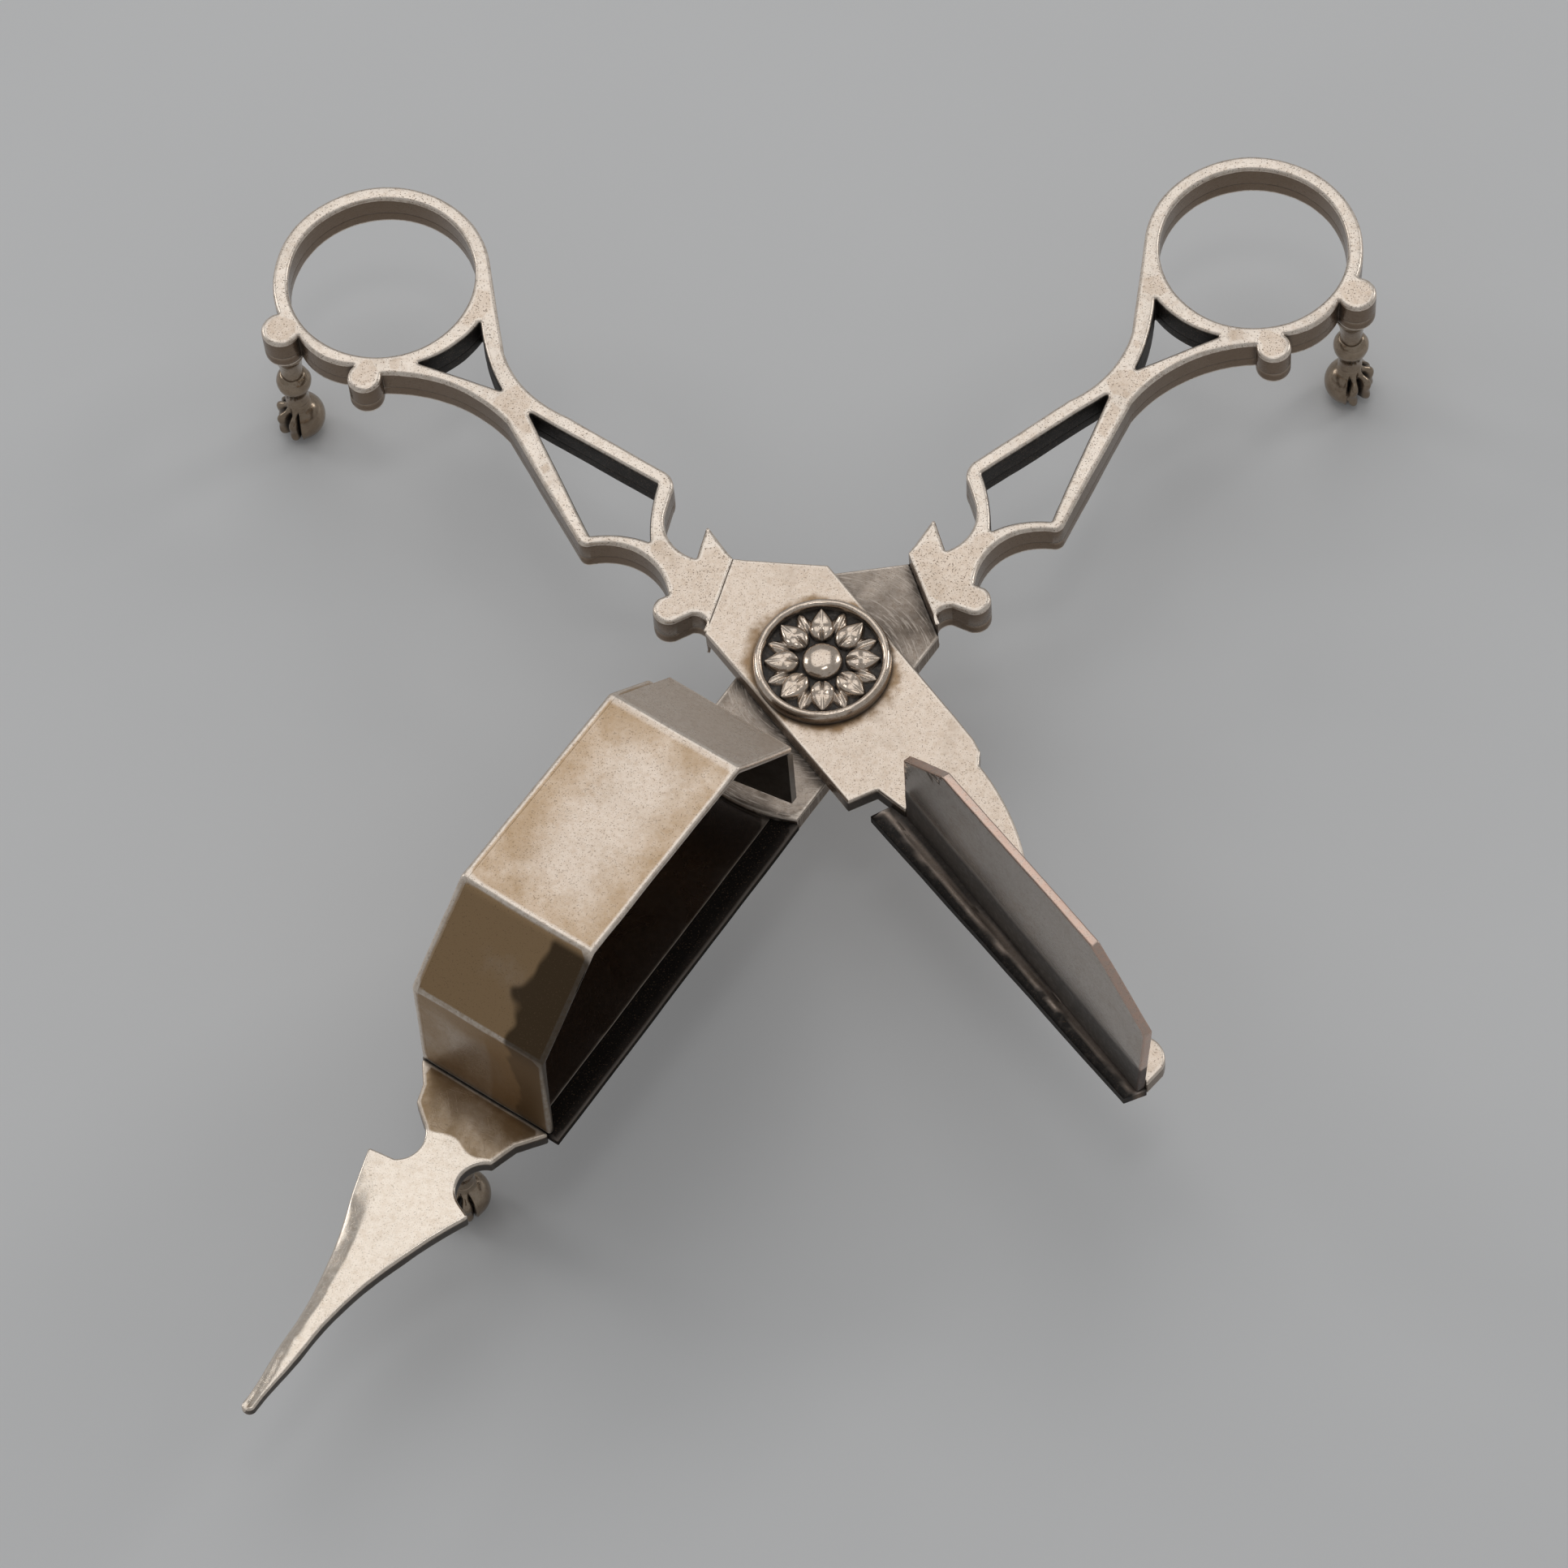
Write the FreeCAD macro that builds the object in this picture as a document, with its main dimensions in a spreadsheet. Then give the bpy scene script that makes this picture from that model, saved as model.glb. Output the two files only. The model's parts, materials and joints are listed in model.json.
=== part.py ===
"""Candle snuffer scissors (wick trimmer) on three claw-and-ball feet.

Two arms cross at a riveted pivot.  The box arm carries the snuff box, the spear tip and two feet.
The plate arm lies on top of it and carries the upright snuffer blade, the cutter strip, one foot and
the rosette.  Each arm is drawn in a frame of its own: the pivot axis is Z, the arm's front end runs
towards -Y, its handle towards +Y, and z = 0 is the upper face of both handles.
"""
import FreeCAD, Part
import os
import Sketcher

V = FreeCAD.Vector
Z_AXIS = V(0, 0, 1)

doc = FreeCAD.newDocument("candle_snuffer")
sheet = doc.addObject("Spreadsheet::Sheet", "Sizes")

# Driving dimensions in millimetres and degrees.
SIZES = {
    # where the two arms stand about the pivot when the snuffer lies fully open
    "pivot_x": 0.0,
    "pivot_y": 0.0,
    "top_height": 19.2,
    "box_arm_angle": -34.7,
    "plate_arm_angle": 35.3,
    # handles, cut from one flat bar with a finger ring
    "handle_thick": 4.2,
    "ring_bore": 9.6,
    "ring_wall": 1.6,
    "ring_aside": 9.4,
    "ring_ahead": 64.3,
    "knob_radius": 1.75,
    "knob_aside": 17.5,
    "knob_ahead": 55.4,
    "lug_radius": 2.0,
    "lug_aside": 21.1,
    "lug_ahead": 65.3,
    # half-lap at the pivot
    "lap_thick": 2.0,
    "lap_gap": 0.1,
    "arm_half_width": 7.1,
    "lap_end_radius": 16.6,
    "rear_corner": 8.9,
    "pin_radius": 2.0,
    "pin_clearance": 0.05,
    "pin_head": 0.5,
    "washer_radius": 3.4,
    "washer_thick": 0.5,
    # snuff box
    "sheet_thick": 0.8,
    "floor_top": -2.6,
    "floor_thick": 1.2,
    "floor_edge": 4.6,
    "shear_edge": 7.3,
    "shear_drop": 0.1,
    "mouth_side": 6.42,
    "box_width": 15.17,
    "rear_wall_lift": 0.3,
    "rear_wall_skew": 8.9,
    "rear_wall_run": 1.0,
    "rear_wall_reach": 4.8,
    # blade and cutter strip
    "blade_face": -3.15,
    "blade_thick": 0.9,
    "strip_top": -1.2,
    "strip_thick": 1.25,
    # tip
    "tip_top": -2.4,
    "tip_thick": 1.8,
    # feet
    "collar_radius": 1.85,
    "collar_height": 0.5,
    "neck_radius": 0.95,
    "neck_drop": 1.2,
    "bulb_top": 3.4,
    "bulb_root": 1.15,
    "bulb_radius": 1.8,
    "bulb_drop": 5.6,
    "bulb_foot": 8.0,
    "ankle_radius": 1.2,
    "ankle_drop": 9.2,
    "ankle_spread": 2.15,
    "ankle_sink": 0.9,
    "ball_radius": 2.55,
    "ball_flat": 0.12,
    "toe_radius": 0.8,
    "toe_length": 2.1,
    "toe_aside": 2.2,
    "toe_lift": 0.5,
    "foot_aside": 20.8,
    "foot_ahead": 65.3,
    "front_foot_aside": -1.8,
    "front_foot_ahead": -60.5,
    # rosette
    "rosette_radius": 6.9,
    "rosette_height": 1.35,
    "rosette_rim": 0.95,
    "field_height": 0.45,
    "petal_middle": 3.4,
    "petal_half_length": 1.7,
    "petal_half_width": 1.25,
    "petal_height": 0.75,
    "leaf_half_length": 1.6,
    "leaf_half_width": 0.6,
    "leaf_height": 0.45,
    "dome_radius": 2.05,
    "dome_height": 1.5,
}

# Outline corners in millimetres, in the frame of the arm that they belong to.  Handle corners are for
# the box arm's handle; the plate arm's handle is its mirror image.
CORNERS = {
    # handle: ear and neck beside the half-lap
    "lap_inner": (0.0, 15.2),
    "ear_tip": (-0.15, 20.0),
    "ear_foot": (2.9, 17.5),
    "neck_hollow": (3.85, 20.4),
    "neck_top": (2.4, 23.6),
    "neck_swell": (0.6, 25.1),
    "neck_round": (-0.45, 26.4),
    "stay_foot": (-0.3, 28.0),
    # handle: inner stay from the neck past the waist to the ring
    "stay_top": (3.6, 38.9),
    "waist_inner": (5.1, 43.8),
    "waist_end": (4.5, 49.2),
    "ring_inner": (-0.9, 59.9),
    "ring_crown": (9.4, 75.5),
    "lug_upper": (20.2, 67.1),
    "lug_outer": (23.1, 65.3),
    "lug_lower": (20.1, 63.6),
    "ring_side": (19.4, 59.3),
    "knob_upper": (17.6, 57.15),
    "knob_outer": (19.1, 54.7),
    "knob_lower": (15.9, 54.6),
    # handle: outer stay, arch, lobe and the seam of the half-lap
    "brace_bend": (10.9, 48.9),
    "waist_outer": (9.0, 42.0),
    "kite_shoulder": (11.2, 26.4),
    "kite_round": (11.1, 25.7),
    "arch_start": (10.5, 25.2),
    "arch_bend": (7.2, 21.8),
    "arch_end": (7.5, 15.8),
    "lobe_start": (8.6, 16.0),
    "lobe_outer": (10.1, 14.4),
    "lobe_end": (8.6, 12.75),
    "cusp": (7.0, 12.5),
    "cusp_hollow": (6.3, 11.5),
    "cusp_foot": (6.6, 10.4),
    "lap_outer": (7.2, 9.8),
    # handle: kite window and triangle window
    "kite_top": (6.55, 41.9),
    "kite_inner": (1.0, 26.9),
    "kite_bow": (3.5, 24.5),
    "kite_point": (5.5, 21.8),
    "kite_arch": (7.3, 24.2),
    "kite_outer": (9.9, 26.1),
    "window_inner": (4.3, 53.8),
    "window_bow": (6.0, 50.2),
    "window_foot": (7.2, 45.4),
    "window_outer": (12.2, 53.5),
    "window_crown": (8.4, 52.9),
    # plate arm: upper lap, stepped front edge and outer flange
    "plate_step_start": (-7.1, -14.1),
    "plate_step_back": (-4.0, -14.7),
    "plate_step_end": (-3.2, -18.2),
    "plate_shoulder": (6.9, -15.8),
    "plate_nick_start": (6.6, -17.3),
    "plate_nick_end": (5.65, -18.4),
    "scroll_bend": (5.3, -22.2),
    "scroll_end": (2.9, -29.6),
    "flange_waist": (0.3, -38.0),
    "flange_end": (0.6, -51.5),
    "tab_outer": (1.15, -54.0),
    "tab_front": (0.0, -55.4),
    "tab_inner": (-2.25, -55.9),
    # cutter strip
    "strip_rear": (-5.9, -16.1),
    "strip_rear_step": (-3.61, -16.4),
    "strip_front": (-4.6, -55.3),
    # snuff box profile: distance ahead of the pivot and height
    "roof_rear": (13.74, 10.1),
    "roof_heel": (21.9, 18.4),
    "roof_toe": (46.05, 19.62),
    "roof_brow": (55.32, 11.74),
    "roof_front": (55.85, -2.6),
    "side_rear": (16.3, -2.6),
    "side_rear_top": (16.3, 12.7),
    # blade profile: distance ahead of the pivot and height
    "blade_rear": (18.3, 10.2),
    "blade_heel": (24.9, 16.5),
    "blade_toe": (48.4, 18.0),
    "blade_brow": (56.7, 12.5),
    "blade_front": (55.6, -1.2),
    "blade_foot": (18.2, -1.2),
    # spear tip
    "tip_root_outer": (-8.75, -55.85),
    "tip_scallop": (-7.0, -58.1),
    "tip_knuckle": (-6.4, -60.0),
    "tip_notch_start": (-4.7, -61.3),
    "tip_notch_bend": (-3.3, -63.4),
    "tip_notch_end": (-4.6, -66.0),
    "tip_ear_outer": (-7.4, -66.4),
    "spear_shoulder": (-6.0, -71.0),
    "spear_bend_outer": (-3.6, -79.0),
    "spear_end_outer": (-2.0, -93.7),
    "spear_end": (-1.25, -94.6),
    "spear_end_inner": (-0.55, -94.05),
    "spear_bend_inner": (1.2, -77.0),
    "tip_ear_inner": (4.9, -67.1),
    "hook_end": (3.5, -66.5),
    "hook_bend": (1.7, -63.9),
    "hook_start": (3.4, -61.4),
    "tip_lip": (4.3, -58.6),
    "tip_root_inner": (6.42, -55.85),
}


def fill_sheet():
    """Write every driving value as plain text with its alias."""
    row = 1
    for name, value in SIZES.items():
        sheet.set("A%d" % row, name)
        sheet.set("B%d" % row, str(value))
        sheet.setAlias("B%d" % row, name)
        row += 1
    for name, (x, y) in CORNERS.items():
        sheet.set("A%d" % row, name)
        sheet.set("B%d" % row, str(x))
        sheet.setAlias("B%d" % row, name + "_x")
        sheet.set("C%d" % row, str(y))
        sheet.setAlias("C%d" % row, name + "_y")
        row += 1
    doc.recompute()


def size(alias):
    """Present value of one cell of the sheet."""
    return float(sheet.get(alias))


def body(name):
    made = doc.addObject("PartDesign::Body", name)
    made.Label = name
    return made


def origin_plane(owner, role):
    for plane in owner.Origin.OriginFeatures:
        if plane.Role == role:
            return plane
    raise RuntimeError("no plane " + role)


def sketch(owner, role, name, lift=None):
    """Empty sketch on one of the body's own origin planes, lifted along the plane's normal."""
    made = owner.newObject("Sketcher::SketchObject", name)
    made.AttachmentSupport = [(origin_plane(owner, role), "")]
    made.MapMode = "FlatFace"
    if lift is not None:
        made.setExpression("AttachmentOffset.Base.z", lift)
    return made


def corner(name, side=1):
    """Expressions of an outline corner; side -1 mirrors it across the arm's axis."""
    sign = "-" if side < 0 else ""
    return (sign + "Sizes." + name + "_x", "Sizes." + name + "_y")


def value(owner, expression):
    return float(owner.evalExpression(expression))


def pin_point(sk, geometry, which, place):
    """Tie one end of an edge to its place in the sheet."""
    at_x = sk.addConstraint(
        Sketcher.Constraint("DistanceX", -1, 1, geometry, which, value(sk, place[0])))
    sk.setExpression("Constraints[%d]" % at_x, place[0])
    at_y = sk.addConstraint(
        Sketcher.Constraint("DistanceY", -1, 1, geometry, which, value(sk, place[1])))
    sk.setExpression("Constraints[%d]" % at_y, place[1])


def outline(sk, steps):
    """Closed wire.  A step is a corner, or a pair of corners: a point on the arc and the arc's end."""
    def point(place):
        return V(value(sk, place[0]), value(sk, place[1]), 0)

    def last(step):
        return step[1] if isinstance(step[0], tuple) else step

    first_edge = None
    previous_edge = None
    start = last(steps[-1])
    for step in steps:
        if isinstance(step[0], tuple):
            through, end = step
            chord = point(end) - point(start)
            bulge = point(through) - point(start)
            curve = Part.Arc(point(start), point(through), point(end))
            edge = sk.addGeometry(curve, False)
            # a sketch counts an arc's ends anticlockwise
            ends = (1, 2) if bulge.cross(chord).z > 0 else (2, 1)
        else:
            end = step
            edge = sk.addGeometry(Part.LineSegment(point(start), point(end)), False)
            ends = (1, 2)
        if previous_edge is not None:
            sk.addConstraint(
                Sketcher.Constraint("Coincident", previous_edge[0], previous_edge[1], edge, ends[0]))
        else:
            first_edge = (edge, ends[0])
        pin_point(sk, edge, ends[1], end)
        previous_edge = (edge, ends[1])
        start = end
    sk.addConstraint(
        Sketcher.Constraint("Coincident", previous_edge[0], previous_edge[1], first_edge[0], first_edge[1]))


def circle(sk, place, radius):
    """Circle with its centre and radius tied to expressions."""
    centre = V(value(sk, place[0]), value(sk, place[1]), 0)
    edge = sk.addGeometry(Part.Circle(centre, Z_AXIS, value(sk, radius)), False)
    pin_point(sk, edge, 3, place)
    at = sk.addConstraint(Sketcher.Constraint("Radius", edge, value(sk, radius)))
    sk.setExpression("Constraints[%d]" % at, radius)


def pad(owner, sk, length, downwards=False):
    made = owner.newObject("PartDesign::Pad", sk.Name + "_pad")
    made.Profile = sk
    made.Reversed = downwards
    made.setExpression("Length", length)
    sk.Visibility = False
    doc.recompute()
    return made


def stand(obj, angle, aside="0", ahead="0", height="0"):
    """Set a piece drawn in an arm's frame at its place: turned about the pivot, then lifted."""
    turn = "(%s) * 1 deg" % angle
    obj.Placement = FreeCAD.Placement(V(0, 0, 0), FreeCAD.Rotation(Z_AXIS, 1))
    obj.setExpression("Placement.Rotation.Angle", turn)
    along_x = "(%s) * cos(%s) - (%s) * sin(%s)" % (aside, turn, ahead, turn)
    along_y = "(%s) * sin(%s) + (%s) * cos(%s)" % (aside, turn, ahead, turn)
    obj.setExpression("Placement.Base.x", "Sizes.pivot_x + " + along_x)
    obj.setExpression("Placement.Base.y", "Sizes.pivot_y + " + along_y)
    obj.setExpression("Placement.Base.z", "Sizes.top_height + (%s)" % height)
    return obj


def handle(name, side, angle):
    """Flat handle with finger ring, knob, foot lug, kite window and triangle window."""
    owner = body(name)
    sk = sketch(owner, "XY_Plane", name + "_outline")

    def at(corner_name):
        return corner(corner_name, side)

    outline(sk, [
        at("lap_inner"), at("ear_tip"), at("ear_foot"),
        (at("neck_hollow"), at("neck_top")), at("neck_swell"),
        (at("neck_round"), at("stay_foot")), at("stay_top"),
        (at("waist_inner"), at("waist_end")), at("ring_inner"),
        (at("ring_crown"), at("lug_upper")),
        (at("lug_outer"), at("lug_lower")),
        (at("ring_side"), at("knob_upper")),
        (at("knob_outer"), at("knob_lower")),
        (at("brace_bend"), at("waist_outer")), at("kite_shoulder"),
        (at("kite_round"), at("arch_start")),
        (at("arch_bend"), at("arch_end")), at("lobe_start"),
        (at("lobe_outer"), at("lobe_end")), at("cusp"),
        (at("cusp_hollow"), at("cusp_foot")), at("lap_outer"),
    ])
    outline(sk, [
        at("kite_top"), at("kite_inner"),
        (at("kite_bow"), at("kite_point")),
        (at("kite_arch"), at("kite_outer")),
    ])
    outline(sk, [
        (at("window_bow"), at("window_foot")), at("window_outer"),
        (at("window_crown"), at("window_inner")),
    ])
    sign = "-" if side < 0 else ""
    circle(sk, (sign + "Sizes.ring_aside", "Sizes.ring_ahead"), "Sizes.ring_bore")
    pad(owner, sk, "Sizes.handle_thick", downwards=True)
    return stand(owner, angle)


def box_lamina():
    """Lower half of the half-lap: it ends in an arc about the pivot, which the cutter strip clears."""
    owner = body("box_lamina")
    sk = sketch(owner, "XY_Plane", "box_lamina_outline", "-(Sizes.lap_thick + Sizes.lap_gap)")
    outline(sk, [
        corner("lap_inner"), ("-Sizes.arm_half_width", "Sizes.rear_corner"),
        ("-Sizes.arm_half_width", LAP_END_Y),
        (("0", "-Sizes.lap_end_radius"), ("Sizes.arm_half_width", LAP_END_Y)),
        corner("lap_outer"),
    ])
    circle(sk, ("0", "0"), "Sizes.pin_radius + Sizes.pin_clearance")
    pad(owner, sk, "Sizes.handle_thick - Sizes.lap_thick - Sizes.lap_gap", downwards=True)
    return stand(owner, BOX_ARM)


def pivot_plate():
    """Upper half of the half-lap, with the stepped front edge and the outer flange of the blade."""
    owner = body("pivot_plate")
    sk = sketch(owner, "XY_Plane", "pivot_plate_outline")
    outline(sk, [
        corner("lap_outer", -1), corner("plate_step_start"), corner("plate_step_back"),
        corner("plate_step_end"), (BLADE_BACK, "Sizes.plate_step_end_y"),
        (BLADE_BACK, "Sizes.tab_inner_y"), corner("tab_front"),
        (corner("tab_outer"), corner("flange_end")), corner("flange_waist"), corner("scroll_end"),
        (corner("scroll_bend"), corner("plate_nick_end")), corner("plate_nick_start"),
        corner("plate_shoulder"), ("Sizes.arm_half_width", "Sizes.rear_corner"),
        corner("lap_inner", -1),
    ])
    circle(sk, ("0", "0"), "Sizes.pin_radius")
    pad(owner, sk, "Sizes.lap_thick", downwards=True)
    return stand(owner, PLATE_ARM)


def cutter_strip():
    """Strip along the foot of the blade that slides over the floor of the box."""
    owner = body("cutter_strip")
    sk = sketch(owner, "XY_Plane", "cutter_strip_outline", "Sizes.strip_top")
    outline(sk, [
        corner("strip_rear"), corner("strip_front"), (BLADE_BACK, "Sizes.tab_inner_y"),
        (BLADE_BACK, "Sizes.plate_step_end_y"), corner("plate_step_end"), corner("strip_rear_step"),
    ])
    pad(owner, sk, "Sizes.strip_thick", downwards=True)
    return stand(owner, PLATE_ARM)


def profile_corner(name):
    """Corner of a side profile: distance ahead of the pivot runs towards -Y, height runs up."""
    return ("-Sizes." + name + "_x", "Sizes." + name + "_y")


def snuffer_blade():
    """Upright plate whose upper edge follows the roof of the box."""
    owner = body("snuffer_blade")
    sk = sketch(owner, "YZ_Plane", "snuffer_blade_profile", "Sizes.blade_face")
    names = ["blade_foot", "blade_rear", "blade_heel", "blade_toe", "blade_brow", "blade_front"]
    outline(sk, [profile_corner(name) for name in names])
    pad(owner, sk, "Sizes.blade_thick")
    return stand(owner, PLATE_ARM)


def box_floor():
    """Floor of the box: its rear meets the lamina's arc, and the steel shear strip lies along its open edge."""
    owner = body("box_floor")
    sk = sketch(owner, "XY_Plane", "box_floor_outline", "Sizes.floor_top")
    front_y = "-Sizes.roof_front_x"
    outline(sk, [
        (("0", "-Sizes.lap_end_radius"), ("-Sizes.arm_half_width", LAP_END_Y)),
        (BOX_SIDE, "-Sizes.side_rear_x"), (BOX_SIDE, front_y), ("Sizes.floor_edge", front_y),
        ("Sizes.floor_edge", FLOOR_END_Y),
    ])
    pad(owner, sk, "Sizes.floor_thick", downwards=True)
    return stand(owner, BOX_ARM)


def shear_strip():
    """Steel strip along the open edge of the floor, that the cutter strip shears the wick against."""
    owner = body("shear_strip")
    sk = sketch(owner, "XY_Plane", "shear_strip_outline", "Sizes.floor_top - Sizes.shear_drop")
    front_y = "-Sizes.roof_front_x"
    middle_x = "(Sizes.floor_edge + Sizes.arm_half_width) / 2"
    middle_y = "-sqrt(Sizes.lap_end_radius ^ 2 - (%s) ^ 2)" % middle_x
    outline(sk, [
        ("Sizes.floor_edge", front_y), ("Sizes.shear_edge", front_y),
        ("Sizes.shear_edge", LAP_END_Y), ("Sizes.arm_half_width", LAP_END_Y),
        ((middle_x, middle_y), ("Sizes.floor_edge", FLOOR_END_Y)),
    ])
    pad(owner, sk, "Sizes.floor_thick - Sizes.shear_drop", downwards=True)
    return stand(owner, BOX_ARM)


def box_side():
    """Outer side wall of the box, which closes the end of the folded roof."""
    owner = body("box_side")
    sk = sketch(owner, "YZ_Plane", "box_side_profile", BOX_SIDE)
    names = ["side_rear", "side_rear_top", "roof_heel", "roof_toe", "roof_brow", "roof_front"]
    outline(sk, [profile_corner(name) for name in names])
    pad(owner, sk, "Sizes.sheet_thick")
    return stand(owner, BOX_ARM)


def box_roof():
    """Roof of the box: one sheet folded along four creases, open towards the blade."""
    owner = body("box_roof")
    sk = sketch(owner, "YZ_Plane", "box_roof_profile", BOX_SIDE + " + Sizes.sheet_thick")
    names = ["roof_rear", "roof_heel", "roof_toe", "roof_brow", "roof_front"]
    outer = [profile_corner(name) for name in names]
    outline(sk, outer + inset(outer)[::-1])
    pad(owner, sk, "Sizes.box_width - Sizes.sheet_thick")
    return stand(owner, BOX_ARM)


def inset(places):
    """The folded line moved inwards by the sheet's thickness: square at its first end, level at its last."""
    def run_rise_length(start, end):
        run = "(%s - (%s))" % (end[0], start[0])
        rise = "(%s - (%s))" % (end[1], start[1])
        return run, rise, "hypot(%s; %s)" % (run, rise)

    def inward(start, end):
        run, rise, length = run_rise_length(start, end)
        return ("(-%s / %s)" % (rise, length), "(%s / %s)" % (run, length))

    def moved(place, x_share, y_share):
        return (place[0] + " + Sizes.sheet_thick * " + x_share, place[1] + " + Sizes.sheet_thick * " + y_share)

    square_end = moved(places[0], *inward(places[0], places[1]))
    made = [square_end]
    for before, place, after in zip(places, places[1:], places[2:]):
        x_one, y_one = inward(before, place)
        x_two, y_two = inward(place, after)
        spread = "(1 + %s * %s + %s * %s)" % (x_one, x_two, y_one, y_two)
        made.append(moved(place, "(%s + %s) / %s" % (x_one, x_two, spread),
                          "(%s + %s) / %s" % (y_one, y_two, spread)))
    run, rise, length = run_rise_length(places[-2], places[-1])
    made.append((places[-1][0] + " - Sizes.sheet_thick * %s / %s" % (length, rise), places[-1][1]))
    return made


def box_rear_wall():
    """Rear wall, set slightly askew under the roof's rear slope and clear of the plate that swings below."""
    owner = body("rear_wall_prism")
    sk = sketch(owner, "YZ_Plane", "rear_wall_profile", BOX_SIDE + " + Sizes.sheet_thick")
    slope = "(Sizes.roof_heel_y - Sizes.roof_rear_y) / (Sizes.roof_heel_x - Sizes.roof_rear_x)"
    drop = "Sizes.sheet_thick * sqrt(1 + (%s) ^ 2)" % slope
    front_x = "(Sizes.roof_rear_x + Sizes.rear_wall_reach)"
    rear_x = "(Sizes.roof_rear_x - Sizes.sheet_thick)"

    def ceiling(along):
        return "Sizes.roof_rear_y + (%s - Sizes.roof_rear_x) * %s - %s" % (along, slope, drop)

    outline(sk, [
        ("-" + rear_x, "Sizes.rear_wall_lift"), ("-" + rear_x, ceiling(rear_x)),
        ("-" + front_x, ceiling(front_x)), ("-" + front_x, "Sizes.rear_wall_lift"),
    ])
    pad(owner, sk, "Sizes.box_width - Sizes.sheet_thick")
    slab = doc.addObject("Part::Box", "rear_wall_slab")
    slab.setExpression("Length", "2 * Sizes.box_width")
    slab.setExpression("Width", "Sizes.sheet_thick")
    slab.setExpression("Height", "Sizes.roof_heel_y")
    slab.Placement = FreeCAD.Placement(V(0, 0, 0), FreeCAD.Rotation(Z_AXIS, 1))
    slab.setExpression("Placement.Rotation.Angle", "(180 + Sizes.rear_wall_skew) * 1 deg")
    slab.setExpression("Placement.Base.x", "Sizes.mouth_side + Sizes.rear_wall_run")
    slab.setExpression("Placement.Base.y", "-Sizes.roof_rear_x")
    wall = doc.addObject("Part::Common", "box_rear_wall")
    wall.Label = "box_rear_wall"
    wall.Base = owner
    wall.Tool = slab
    doc.recompute()
    return stand(wall, BOX_ARM)


def spear_tip():
    """Pointed tip with a scalloped outer edge, two ears and a hook notch."""
    owner = body("spear_tip")
    sk = sketch(owner, "XY_Plane", "spear_tip_outline", "Sizes.tip_top")
    outline(sk, [
        corner("tip_root_outer"), corner("tip_scallop"), corner("tip_knuckle"),
        corner("tip_notch_start"), (corner("tip_notch_bend"), corner("tip_notch_end")),
        corner("tip_ear_outer"), corner("spear_shoulder"),
        (corner("spear_bend_outer"), corner("spear_end_outer")),
        (corner("spear_end"), corner("spear_end_inner")),
        (corner("spear_bend_inner"), corner("tip_ear_inner")), corner("hook_end"),
        (corner("hook_bend"), corner("hook_start")), corner("tip_lip"), corner("tip_root_inner"),
    ])
    pad(owner, sk, "Sizes.tip_thick", downwards=True)
    return stand(owner, BOX_ARM)


def ellipsoid(name, turn, away, height, radii):
    """Ellipsoid set out from the Z axis; its radii run outwards, sideways and upwards."""
    made = doc.addObject("Part::Ellipsoid", name)
    # the first radius of a Part ellipsoid is the upright one
    made.setExpression("Radius2", radii[0])
    made.setExpression("Radius3", radii[1])
    made.setExpression("Radius1", radii[2])
    made.Placement = FreeCAD.Placement(V(0, 0, 0), FreeCAD.Rotation(Z_AXIS, turn))
    made.setExpression("Placement.Base.x", "%s * cos(%r deg)" % (away, turn))
    made.setExpression("Placement.Base.y", "%s * sin(%r deg)" % (away, turn))
    made.setExpression("Placement.Base.z", height)
    return made


def foot_leg(name, angle, aside, ahead):
    """Turned baluster: collar, neck, bulb and ankle, down to the top of the claw."""
    owner = body(name)
    sk = sketch(owner, "XZ_Plane", name + "_profile")
    outline(sk, [
        ("Sizes.collar_radius", "0"), ("Sizes.collar_radius", "-Sizes.collar_height"),
        (("Sizes.neck_radius", "-Sizes.neck_drop"), ("Sizes.bulb_root", "-Sizes.bulb_top")),
        (("Sizes.bulb_radius", "-Sizes.bulb_drop"), ("Sizes.ankle_radius", "-Sizes.bulb_foot")),
        ("Sizes.ankle_radius", "-Sizes.ankle_drop"), ("0", "-Sizes.ankle_drop"), ("0", "0"),
    ])
    made = owner.newObject("PartDesign::Revolution", name + "_turned")
    made.Profile = sk
    made.ReferenceAxis = (sk, ["V_Axis"])
    made.Angle = 360
    doc.recompute()
    return stand(owner, angle, aside, ahead, "-Sizes.handle_thick")


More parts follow.
